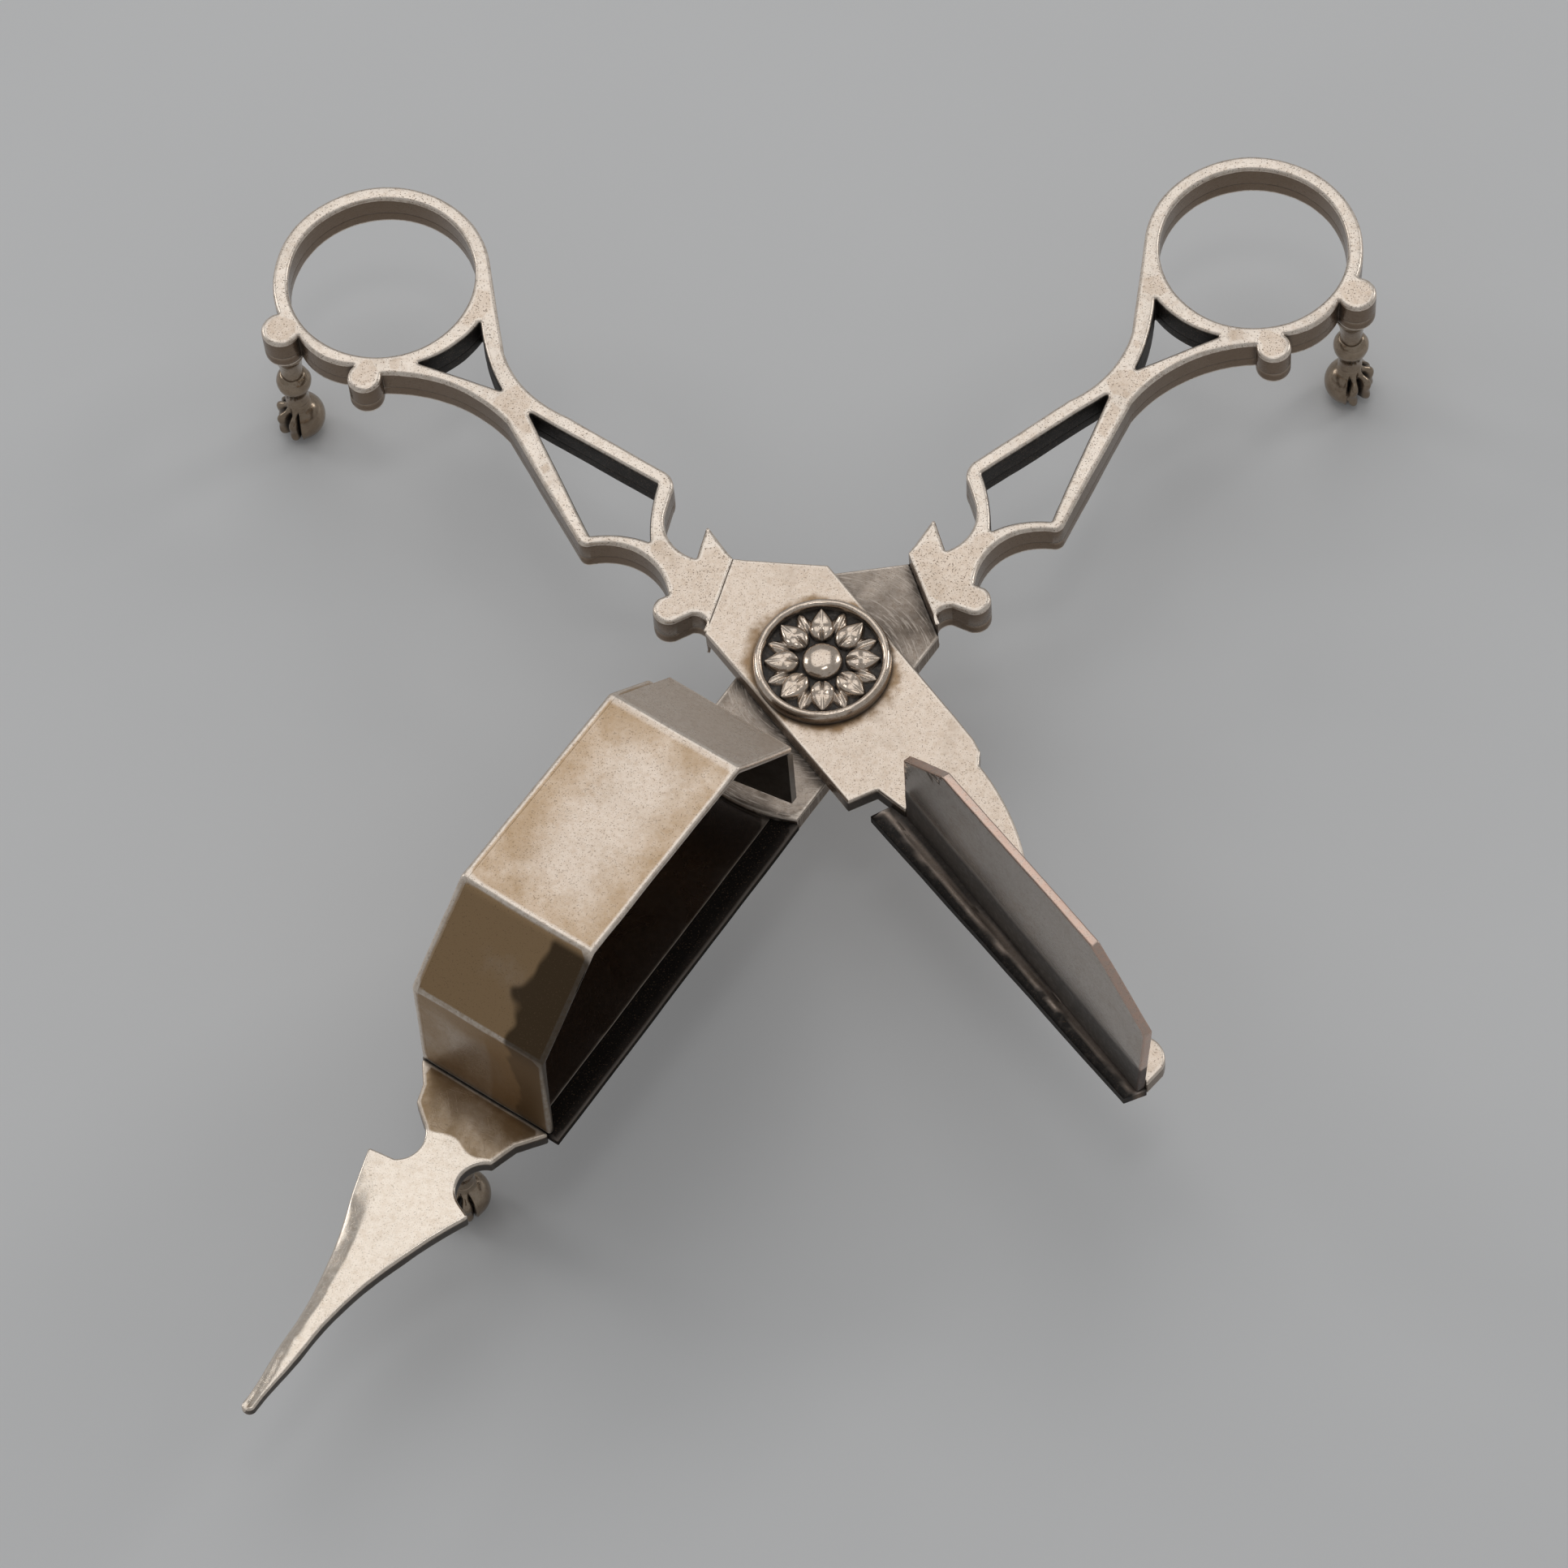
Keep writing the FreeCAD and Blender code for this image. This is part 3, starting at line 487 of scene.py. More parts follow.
def foot_paw(name, body, material, outward):
    """Ball held by three toes on its outer side; outward is the direction that the claw points to."""
    low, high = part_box(name)
    centre = (low + high) / 2
    place = Matrix.Translation((centre.x, centre.y, 0.0)) @ Matrix.Scale(MM, 4)
    top = high.z / MM
    profile = [(0.0, top), (1.15, top), (1.25, top - 0.25)]
    start = math.radians(30)
    steps = 64
    for step in range(steps + 1):
        polar = start + (math.pi - start) * step / steps
        profile.append((BALL_RADIUS * math.sin(polar), BALL_CENTRE + BALL_RADIUS * math.cos(polar)))
    profile[-1] = (0.0, profile[-1][1])
    profile.reverse()

    def claw(v):
        gap = Vector((v.x, v.y, v.z - BALL_CENTRE))
        reach = gap.length
        if reach < 1e-6 or reach > BALL_RADIUS * 1.02:
            return v
        polar = math.degrees(math.acos(max(-1, min(1, gap.z / reach))))
        turn = (math.atan2(v.y, v.x) - outward + math.pi) % (2 * math.pi) - math.pi
        within = smooth_step(1.0, 0.9, abs(turn) / CLAW_HALF_ANGLE)
        band = smooth_step(26, 44, polar) * smooth_step(168, 150, polar)
        toe = 0.0
        for angle in TOE_ANGLES:
            bend = 0.05 * math.sin(math.radians(polar * 3))
            aside = abs(turn - angle * (0.75 + 0.25 * math.sin(math.radians(polar))) - bend)
            toe = max(toe, 1 - (aside / math.radians(17)) ** 2)
        toe = max(0.0, toe) ** 0.5
        knuckle = 0.07 * math.cos(math.radians((polar - 62) * 6.2))
        talon = 0.12 * smooth_step(118, 140, polar)
        height = 0.64 + (0.39 + knuckle - talon) * toe
        lip = 0.06 * math.exp(-((abs(turn) - CLAW_HALF_ANGLE) / 0.1) ** 2)
        factor = 1 + (height - 1) * within * band + lip * band * 0.6
        made = gap * factor
        made.z = max(made.z, -BALL_CENTRE)
        return hand_worked(Vector((made.x, made.y, made.z + BALL_CENTRE)), 0.05)

    def flat_foot(v):
        made = claw(v)
        made.z = max(made.z, 0.0)
        return made

    vertices, faces = lathe(profile, 144, flat_foot)
    centre_point = Vector((0, 0, BALL_CENTRE))
    depth = [BALL_RADIUS - (v - centre_point).length for v in vertices]
    black = [smooth_step(0.25, 0.75, d) * smooth_step(5.0, 4.2, v.z) for d, v in zip(depth, vertices)]
    marks = {"border": [1.0] * len(vertices), "blackening_and_shade": black}
    finish_piece(name + "_metal", vertices, faces, place, body, material, [name],
                 marks, smooth=70)


# ---------------------------------------------------------------- rosette

ROSETTE_RADIUS = 6.9
ROSETTE_HEIGHT = 1.35
RIM_WIDTH = 0.95
DOME_RADIUS = 2.05
FIELD_HEIGHT = 0.28
PETALS = 8


def petal(ahead, aside, root, tip, half_width):
    """Plumpness (0 to 1) of one pointed petal whose root is cleft in two round lobes."""
    share = (ahead - root) / (tip - root)
    if share <= 0 or share >= 1:
        return 0.0
    broad = 0.36
    if share < broad:
        wide = math.sqrt(1 - ((broad - share) / broad) ** 2)
    else:
        wide = math.cos(math.pi / 2 * (share - broad) / (1 - broad)) ** 0.8
    wide *= half_width
    if abs(aside) >= wide:
        return 0.0
    crown = math.sqrt(1 - (abs(aside) / wide) ** 4)
    cleft = math.exp(-(aside / 0.16) ** 2) * smooth_step(0.5, 0.0, share)
    ridge = 0.10 * math.exp(-(aside / 0.12) ** 2) * smooth_step(0.3, 0.8, share)
    ends = math.sqrt(math.sin(math.pi * share / broad / 2)) if share < broad else 1.0
    return crown * (1 - 0.5 * cleft + ridge) * (0.55 + 0.45 * ends)


def rosette_relief(radius, turn):
    """Height of the stamped flower above the plate."""
    pitch = 2 * math.pi / PETALS
    height = FIELD_HEIGHT
    for offset, root, tip, half_width, rise in ((0.5, 3.4, 5.9, 0.8, 0.5), (0.0, 2.3, 5.8, 1.32, 0.9)):
        local = (turn / pitch - offset + 0.5) % 1.0 - 0.5
        angle = local * pitch
        ahead = radius * math.cos(angle)
        aside = radius * math.sin(angle)
        plump = petal(ahead, aside, root, tip, half_width)
        lean = 1.0 - 0.35 * smooth_step(root + 0.9, tip, ahead)
        hollow = 0.07 * math.exp(-((ahead - root - 1.75) / 0.35) ** 2)
        if offset:
            hollow = 0.3 * abs(math.cos(aside * 5.2))
        height = max(height, FIELD_HEIGHT + rise * plump * (lean - hollow))
    return height


def rosette(material, dark_material):
    """Flower, rim and dome over the pivot."""
    inner = DOME_RADIUS - 0.1
    outer = ROSETTE_RADIUS - RIM_WIDTH + 0.05
    rings, count = 62, 432
    vertices = []
    faces = []
    for ring in range(rings + 1):
        radius = inner + (outer - inner) * ring / rings
        for i in range(count):
            turn = 2 * math.pi * i / count
            height = rosette_relief(radius, turn)
            vertices.append(Vector((radius * math.cos(turn), radius * math.sin(turn), height)))
    for ring in range(rings):
        for i in range(count):
            j = (i + 1) % count
            one = ring * count
            two = one + count
            faces.append((one + i, two + i, two + j, one + j))
    black = [smooth_step(FIELD_HEIGHT + 0.2, FIELD_HEIGHT + 0.04, v.z) for v in vertices]
    vertices = [hand_worked(v, 0.05) for v in vertices]
    finish_piece("rosette_flower_metal", vertices, faces, SQUARE_FRAME, "plate_arm",
                 dark_material, ["rosette_flower"],
                 {"border": [1.0] * len(vertices), "blackening_and_shade": black}, smooth=75)

    inner_rim = ROSETTE_RADIUS - RIM_WIDTH
    crown = ROSETTE_HEIGHT
    profile = [(inner_rim, 0.0), (inner_rim, crown - 0.4), (inner_rim + 0.08, crown - 0.16),
               (inner_rim + 0.24, crown - 0.03), (inner_rim + 0.45, crown), (inner_rim + 0.66, crown - 0.08),
               (inner_rim + 0.84, crown - 0.32), (ROSETTE_RADIUS - 0.02, crown - 0.62),
               (ROSETTE_RADIUS, 0.0)]
    profile.reverse()

    def chased(v):
        turn = math.atan2(v.y, v.x)
        facet = 0.035 * math.sin(turn * 17 + 2 * math.sin(turn * 3)) * smooth_step(0.4, 1.2, v.z)
        return hand_worked(v * (1 + facet * 0.05) + Vector((0, 0, facet * 0.4)), 0.05)

    vertices, faces = lathe(profile, 160, chased)
    black = [smooth_step(0.55, 0.15, v.z) for v in vertices]
    finish_piece("rosette_rim_metal", vertices, faces, SQUARE_FRAME, "plate_arm",
                 material, ["rosette_rim"], {"border": [1.0] * len(vertices), "blackening_and_shade": black},
                 smooth=65)

    profile = [(0.0, 1.5)]
    steps = 20
    for step in range(1, steps + 1):
        turn = math.pi / 2 * step / steps
        profile.append((DOME_RADIUS * math.sin(turn) ** 0.85, 0.55 + 0.95 * math.cos(turn)))
    profile += [(DOME_RADIUS, 0.0)]
    profile.reverse()
    vertices, faces = lathe(profile, 96, lambda v: hand_worked(v, 0.09))
    black = [smooth_step(0.62, 0.4, v.z) for v in vertices]
    finish_piece("pivot_dome_metal", vertices, faces, SQUARE_FRAME, "plate_arm",
                 material, ["pivot_dome"], {"border": [1.0] * len(vertices), "blackening_and_shade": black},
                 smooth=65)


# ---------------------------------------------------------------- materials

class Nodes:
    """Small helper round a material's node tree."""

    def __init__(self, name):
        self.material = bpy.data.materials.new(name)
        self.material.use_nodes = True
        self.tree = self.material.node_tree
        self.shader = self.tree.nodes["Principled BSDF"]
        coords = self.tree.nodes.new("ShaderNodeTexCoord")
        scale = self.tree.nodes.new("ShaderNodeVectorMath")
        scale.operation = "SCALE"
        scale.inputs["Scale"].default_value = 1 / MM
        self.link(coords.outputs["Object"], scale.inputs[0])
        self.place = scale.outputs[0]

    def link(self, source, target):
        self.tree.links.new(source, target)

    def new(self, kind, **settings):
        made = self.tree.nodes.new(kind)
        for key, value in settings.items():
            setattr(made, key, value)
        return made

    def fill(self, target, value):
        if isinstance(value, bpy.types.NodeSocket):
            self.link(value, target)
        else:
            target.default_value = value

    def math(self, operation, one, two=0.0, clamp=False):
        made = self.new("ShaderNodeMath", operation=operation, use_clamp=clamp)
        self.fill(made.inputs[0], one)
        self.fill(made.inputs[1], two)
        return made.outputs[0]

    def stretch(self, scale, turn=0.0, shift=(0.0, 0.0, 0.0)):
        """Coordinates in millimetres, shifted, turned about Z and stretched."""
        made = self.new("ShaderNodeMapping", vector_type="POINT")
        made.inputs["Scale"].default_value = scale
        made.inputs["Location"].default_value = shift
        turned = self.new("ShaderNodeMapping", vector_type="POINT")
        turned.inputs["Rotation"].default_value = (0.0, 0.0, math.radians(turn))
        self.link(self.place, turned.inputs["Vector"])
        self.link(turned.outputs[0], made.inputs["Vector"])
        return made.outputs[0]

    def noise(self, scale, detail=4.0, rough=0.55, place=None, distortion=0.0):
        made = self.new("ShaderNodeTexNoise")
        made.inputs["Scale"].default_value = scale
        made.inputs["Detail"].default_value = detail
        made.inputs["Roughness"].default_value = rough
        made.inputs["Distortion"].default_value = distortion
        self.link(place if place is not None else self.place, made.inputs["Vector"])
        return made.outputs["Fac"]

    def ramp(self, value, low, high, start=0.0, end=1.0):
        """Smooth step of a value from low to high."""
        made = self.new("ShaderNodeMapRange", interpolation_type="SMOOTHSTEP")
        self.fill(made.inputs["Value"], value)
        made.inputs["From Min"].default_value = low
        made.inputs["From Max"].default_value = high
        made.inputs["To Min"].default_value = start
        made.inputs["To Max"].default_value = end
        return made.outputs["Result"]

    def blend(self, share, one, two):
        made = self.new("ShaderNodeMix", data_type="RGBA")
        self.fill(made.inputs["Factor"], share)
        self.fill(made.inputs["A"], one)
        self.fill(made.inputs["B"], two)
        return made.outputs["Result"]

    def mix(self, share, one, two):
        made = self.new("ShaderNodeMix", data_type="FLOAT")
        self.fill(made.inputs["Factor"], share)
        self.fill(made.inputs["A"], one)
        self.fill(made.inputs["B"], two)
        return made.outputs["Result"]

    def attribute(self, name):
        made = self.new("ShaderNodeAttribute", attribute_name=name, attribute_type="GEOMETRY")
        return made.outputs["Fac"]

    def cavity(self, distance):
        """1 in the open, towards 0 in crevices; it sets where tarnish and painted shade are laid on."""
        made = self.new("ShaderNodeAmbientOcclusion", samples=8)
        made.inputs["Distance"].default_value = distance * MM
        return made.outputs["AO"]

    def scratches(self, turn, fineness=9.0, length=0.16, low=0.62, high=0.72, shift=0.0):
        """Thin lines along one direction."""
        place = self.stretch((length, fineness, fineness), turn, (shift, shift * 2, 0.0))
        return self.ramp(self.noise(1.0, 3.0, 0.6, place, 0.25), low, high)


def rgb(red, green, blue):
    return (red, green, blue, 1.0)


SILVER = rgb(0.71, 0.605, 0.51)
HONEY = rgb(0.47, 0.31, 0.165)
# Brown of the pits, also laid on upright faces as painted shade.
PIT_AND_SIDE_SHADE_BROWN = rgb(0.16, 0.105, 0.065)
# Colour of the rubbed edges, partly a painted highlight along them.
POLISHED_AND_HIGHLIGHT = rgb(0.88, 0.78, 0.68)
PINK = rgb(0.66, 0.46, 0.37)
DEEP_BROWN = rgb(0.045, 0.030, 0.018)
# Near black of soot and tarnish, also laid on as painted shade in crevices.
SOOT_AND_SHADE_BLACK = rgb(0.010, 0.008, 0.007)


def silver(name, base=SILVER, tarnish=0.35, stain=HONEY, roughness=(0.20, 0.32), pits=0.5,
           scratch_turn=20.0, scratch=0.35, crevice_tarnish_and_shade=0.8, reach=1.2, rim_stain=0.0, rim=POLISHED_AND_HIGHLIGHT,
           rim_light=0.6, side_shade=0.5, grain=0.5, scratches=None, mask=None, deep=None):
    """Worn silver.

    base is the colour of the clean metal, stain that of its tarnish and roughness the range it spans;
    tarnish is the share of stained patches and rim_stain gathers them a few millimetres in from the
    edges; rim is the colour of the rubbed edges, partly a painted highlight, and rim_light how clean and
    bright they are; side_shade paints shade onto upright faces; crevice darkens corners within reach
    millimetres, as tarnish and painted shade; pits, scratch and grain are the marks of use; mask adds
    more stain where its value is 1 and deep turns the metal nearly black.
    """
    n = Nodes(name)
    patches = n.math("ADD", 0.2, n.math("MULTIPLY", n.noise(0.16, 4.0, 0.6, distortion=0.5), 0.6))
    mottle = n.noise(1.7, 5.0, 0.6)
    specks = n.noise(6.5, 2.0, 0.5)
    fine = n.noise(14.0, 3.0, 0.6)

    border = n.attribute("border")
    near_edge = n.math("MULTIPLY", n.ramp(border, 0.1, 0.4), n.ramp(border, 6.5, 0.3))
    level = n.math("ADD", patches, n.math("MULTIPLY", near_edge, 0.30 * rim_stain))
    level = n.math("ADD", level, n.math("MULTIPLY", n.math("SUBTRACT", mottle, 0.5), 0.10))
    if mask is not None:
        level = n.math("ADD", level, mask(n))
    stained = n.ramp(level, 0.50 - 0.3 * tarnish, 1.10 - 0.3 * tarnish, 0.0, 0.97)

    normal = n.new("ShaderNodeNewGeometry")
    upright = n.new("ShaderNodeSeparateXYZ")
    n.link(normal.outputs["Normal"], upright.inputs[0])
    tilt = n.math("ABSOLUTE", upright.outputs["Z"])
    # Painted shade: upright faces are painted browner, standing in for the darker floor they reflect; less
    # so near the edges.
    side = n.ramp(tilt, 0.55, 0.1, 0.0, side_shade)
    side = n.math("MULTIPLY", side, n.ramp(border, 0.0, 0.25, 0.45, 1.0))

    dull = rgb(base[0] * 0.66, base[1] * 0.56, base[2] * 0.46)
    colour = n.blend(n.ramp(mottle, 0.35, 0.75, 0.0, 0.35), base, dull)
    colour = n.blend(n.ramp(fine, 0.5, 0.72, 0.0, 0.5), colour, dull)
    colour = n.blend(stained, colour, stain)
    colour = n.blend(side, colour, PIT_AND_SIDE_SHADE_BROWN)
    # Wear, and a painted highlight, along the rounded edges.
    rubbed = n.math("MULTIPLY", n.ramp(border, 0.22, 0.02), n.ramp(mottle, 0.66, 0.40, 0.45, rim_light))
    colour = n.blend(rubbed, colour, rim)
    # Painted shade with tarnish: crevices found by ambient occlusion, and the points marked black, are
    # painted near black, rougher and less metallic.
    open_air = n.cavity(reach)
    hidden = n.ramp(open_air, 0.86, 0.30, 0.0, crevice_tarnish_and_shade)
    hidden = n.math("MULTIPLY", hidden, n.ramp(mottle, 0.2, 0.6, 0.75, 1.0))
    black = n.math("MULTIPLY", n.attribute("blackening_and_shade"), n.ramp(mottle, 0.15, 0.55, 0.8, 0.97))
    hidden = n.math("MAXIMUM", hidden, black)
    if deep is not None:
        colour = n.blend(deep(n), colour, DEEP_BROWN)
    colour = n.blend(hidden, colour, SOOT_AND_SHADE_BLACK)
    spots = n.ramp(specks, 0.61, 0.68, 0.0, pits)
    colour = n.blend(spots, colour, PIT_AND_SIDE_SHADE_BROWN)

    crossing = n.scratches(scratch_turn + 62.0, shift=7.0, low=0.66)
    lines = n.math("MAXIMUM", n.scratches(scratch_turn), crossing)
    lines = n.math("MULTIPLY", lines, scratch)
    if scratches is not None:
        lines = n.math("MAXIMUM", lines, scratches(n))
        colour = n.blend(n.math("MULTIPLY", lines, 0.8), colour, base)

    rough = n.mix(n.ramp(patches, 0.3, 0.7), roughness[0], roughness[1])
    rough = n.math("ADD", rough, n.math("MULTIPLY", stained, 0.12))
    rough = n.math("ADD", rough, n.math("MULTIPLY", hidden, 0.3))
    rough = n.math("ADD", rough, n.math("MULTIPLY", rubbed, 0.1))
    rough = n.math("ADD", rough, n.math("MULTIPLY", lines, 0.08), clamp=True)

    height = n.math("MULTIPLY", fine, 0.35 * grain)
    height = n.math("ADD", height, n.math("MULTIPLY", mottle, 0.5 * grain))
    height = n.math("SUBTRACT", height, n.math("MULTIPLY", spots, 0.9))
    height = n.math("SUBTRACT", height, n.math("MULTIPLY", lines, 0.6))
    bump = n.new("ShaderNodeBump")
    bump.inputs["Strength"].default_value = 0.55
    bump.inputs["Distance"].default_value = 0.02 * MM
    n.link(height, bump.inputs["Height"])

    shader = n.shader
    n.link(colour, shader.inputs["Base Color"])
    n.link(rough, shader.inputs["Roughness"])
    n.link(bump.outputs[0], shader.inputs["Normal"])
    metal = n.math("SUBTRACT", 1.0, n.math("MULTIPLY", hidden, 0.7), clamp=True)
    n.link(metal, shader.inputs["Metallic"])
    return n.material


def arcs_about_pivot(fineness=5.0, low=0.5, high=0.62):
    """Scratches that run round the pivot."""
    def make(n):
        shift = n.new("ShaderNodeVectorMath", operation="SUBTRACT")
        n.link(n.place, shift.inputs[0])
        shift.inputs[1].default_value = (pivot.x, pivot.y, 0.0)
        split = n.new("ShaderNodeSeparateXYZ")
        n.link(shift.outputs[0], split.inputs[0])
        square = n.math("ADD", n.math("MULTIPLY", split.outputs["X"], split.outputs["X"]),
                        n.math("MULTIPLY", split.outputs["Y"], split.outputs["Y"]))
        radius = n.math("SQRT", square)
        turn = n.math("ARCTAN2", split.outputs["Y"], split.outputs["X"])
        place = n.new("ShaderNodeCombineXYZ")
        n.link(n.math("MULTIPLY", radius, fineness), place.inputs["X"])
        n.link(n.math("MULTIPLY", turn, 4.0), place.inputs["Y"])
        return n.ramp(n.noise(1.0, 4.0, 0.65, place.outputs[0], 0.4), low, high)
    return make


# ---------------------------------------------------------------- shapes of single pieces

def tip_shape(v):
    """Spear tip: a long bevel that deepens slowly along its outer side, and thinner metal to the end.

    The narrow part behind the end is a little wider than its outline, so that the tip tapers evenly.
    """
    start, end = -66.0, -94.6
    bevel_depth = 0.95
    share = (start - v.y) / (start - end)
    if share <= 0:
        return v
    share = min(1.0, share)
    left = -7.4 + 6.2 * share ** 0.72
    ridge = left + 2.6 * (1 - share) ** 0.8 + 0.1
    drop = bevel_depth * smooth_step(0.0, 0.45, share)
    if v.z > -3.4 and v.x < ridge:
        v = Vector((v.x, v.y, v.z - drop * min(1.0, (ridge - v.x) / max(0.2, ridge - left))))
    taper = 0.3 * share ** 2
    middle = -3.3
    widest_behind_end, widened_reach = 6.5, 3.6
    spread = 0.3 * math.exp(-((v.y - end - widest_behind_end) / widened_reach) ** 2)
    centre_line, half_width = -1.25, 0.45
    aside = max(-1.0, min(1.0, (v.x - centre_line) / half_width))
    return Vector((v.x + aside * spread, v.y, middle + (v.z - middle) * (1 - taper)))


def tip_soot(v):
    """The upright walls of the notch and of the inner side are black below the rubbed edge."""
    return 0.85 * smooth_step(-2.75, -2.95, v.z) * smooth_step(-1.5, -0.5, v.x)


def nicked_edge(v):
    """Small nicks along an upper edge; v is (ahead, up, across)."""
    wear = noise.noise(Vector((v.x * 1.6, 3.0, 7.0)))
    nick = smooth_step(0.4, 0.62, wear) * smooth_step(9.0, 10.0, v.y)
    return Vector((v.x, v.y - 0.12 * nick, v.z))


def front_step_soot(v):
    """The stepped front edge of the plate, over the strip, is black."""
    over_strip = smooth_step(-13.5, -14.0, v.y) * smooth_step(-2.0, -2.5, v.x)
    return 0.85 * smooth_step(-0.2, -0.35, v.z) * over_strip


def from_free_edge(v):
    """Distance of a point of the cutter strip from its free edge, which leans a little."""
    return v.x + 5.9 - (v.y + 16.1) * -0.033


def strip_shape(v):
    """Cutter strip: a fine groove along its upper face and a bevel along its free edge."""
    if v.z < -1.3:
        return v
    groove = 0.15 * math.exp(-((from_free_edge(v) - 1.8) / 0.14) ** 2)
    bevel = 0.45 * smooth_step(0.85, 0.0, from_free_edge(v))
    return Vector((v.x, v.y, v.z - groove - bevel))


def strip_soot(v):
    """Black bevel, a rubbed band with a ragged black patch, then the black root beside the blade."""
    ragged = 0.5 * noise.noise(Vector((v.x * 0.8, v.y * 0.5, 2.0))) + 0.25
    bevel = smooth_step(0.95 + ragged, 0.6 + ragged, from_free_edge(v))
    root = smooth_step(1.7, 1.9, from_free_edge(v))
    return max(bevel, 0.9 * root)


# ---------------------------------------------------------------- build

def shear_soot(v):
    """Black all over but for the thin outer edge of the upper face."""
    return max(smooth_step(7.2, 7.0, v.x), smooth_step(-2.8, -2.9, v.z))


def mirrored(line):
    return tuple((-x, y) for x, y in line)


def in_box_frame(n):
    """Position in millimetres in the box arm's frame, with z up from the table."""
    moved = n.new("ShaderNodeVectorMath", operation="SUBTRACT")
    n.link(n.place, moved.inputs[0])
    moved.inputs[1].default_value = (pivot.x, pivot.y, 0.0)
    turned = n.new("ShaderNodeVectorRotate", rotation_type="Z_AXIS")
    turned.inputs["Angle"].default_value = math.radians(-BOX_ANGLE)
    n.link(moved.outputs[0], turned.inputs["Vector"])
    split = n.new("ShaderNodeSeparateXYZ")
    n.link(turned.outputs[0], split.inputs[0])
    return split.outputs


def painted_facet_shade(n):
    """Painted shade and light, facet by facet: the box is painted browner on its front slopes.

    It is painted paler on its rear slope and on the outer half of the steep front facet.
    """
    spot = in_box_frame(n)
    front = n.ramp(spot["Y"], -45.6, -47.0, 0.0, 0.42)
    rear = n.ramp(spot["Y"], -23.0, -22.4, 0.0, -0.3)
    steep = n.math("MULTIPLY", n.ramp(spot["Y"], -55.2, -55.5), n.ramp(spot["X"], 0.4, -0.6, 0.0, -0.34))
    return n.math("ADD", n.math("ADD", front, rear), steep)


def burnt_lobe(n):
    """Darker stain over the front slopes, nearly black beside the mouth."""
    spot = in_box_frame(n)
    front = n.ramp(spot["Y"], -46.2, -47.0)
    wave = n.math("MULTIPLY", n.noise(0.3, 1.0), 3.4)
    bowed = n.math("MULTIPLY", n.math("ABSOLUTE", n.math("ADD", spot["Y"], 51.5)), 0.45)
    edge = n.math("SUBTRACT", n.math("ADD", spot["X"], wave), bowed)
    lobe = n.math("MULTIPLY", n.ramp(edge, 2.3, 3.1, 0.25, 0.9), front)
    return n.math("MULTIPLY", n.ramp(spot["Y"], -55.2, -55.5, 1.0, 0.6), lobe)


def brown_root(n):
    """The tip is brown as far as the notches, where the polish begins with a scalloped line.

    The bevel along the outer side of the polished part is a little brown too.
    """
    spot = in_box_frame(n)
    wave = n.math("SINE", n.math("MULTIPLY", spot["X"], 1.3))
    line = n.math("ADD", spot["Y"], n.math("MULTIPLY", wave, 0.35))
    bevel = n.math("ADD", spot["X"], n.math("MULTIPLY", spot["Y"], 0.126))
    polished = n.ramp(bevel, -13.2, -12.6, 0.02, -0.3)
    root = n.ramp(line, -61.8, -61.2)
    return n.mix(root, polished, 0.45)


def brown_round_rosette(n):
    """Polish never reached the plate close to the rosette."""
    moved = n.new("ShaderNodeVectorMath", operation="SUBTRACT")
    n.link(n.place, moved.inputs[0])
    moved.inputs[1].default_value = (pivot.x, pivot.y, top_height)
    length = n.new("ShaderNodeVectorMath", operation="LENGTH")
    n.link(moved.outputs[0], length.inputs[0])
    wave = n.math("MULTIPLY", n.noise(0.35, 3.0), 4.0)
    return n.ramp(n.math("ADD", length.outputs["Value"], wave), 10.6, 8.8, 0.0, 0.5)


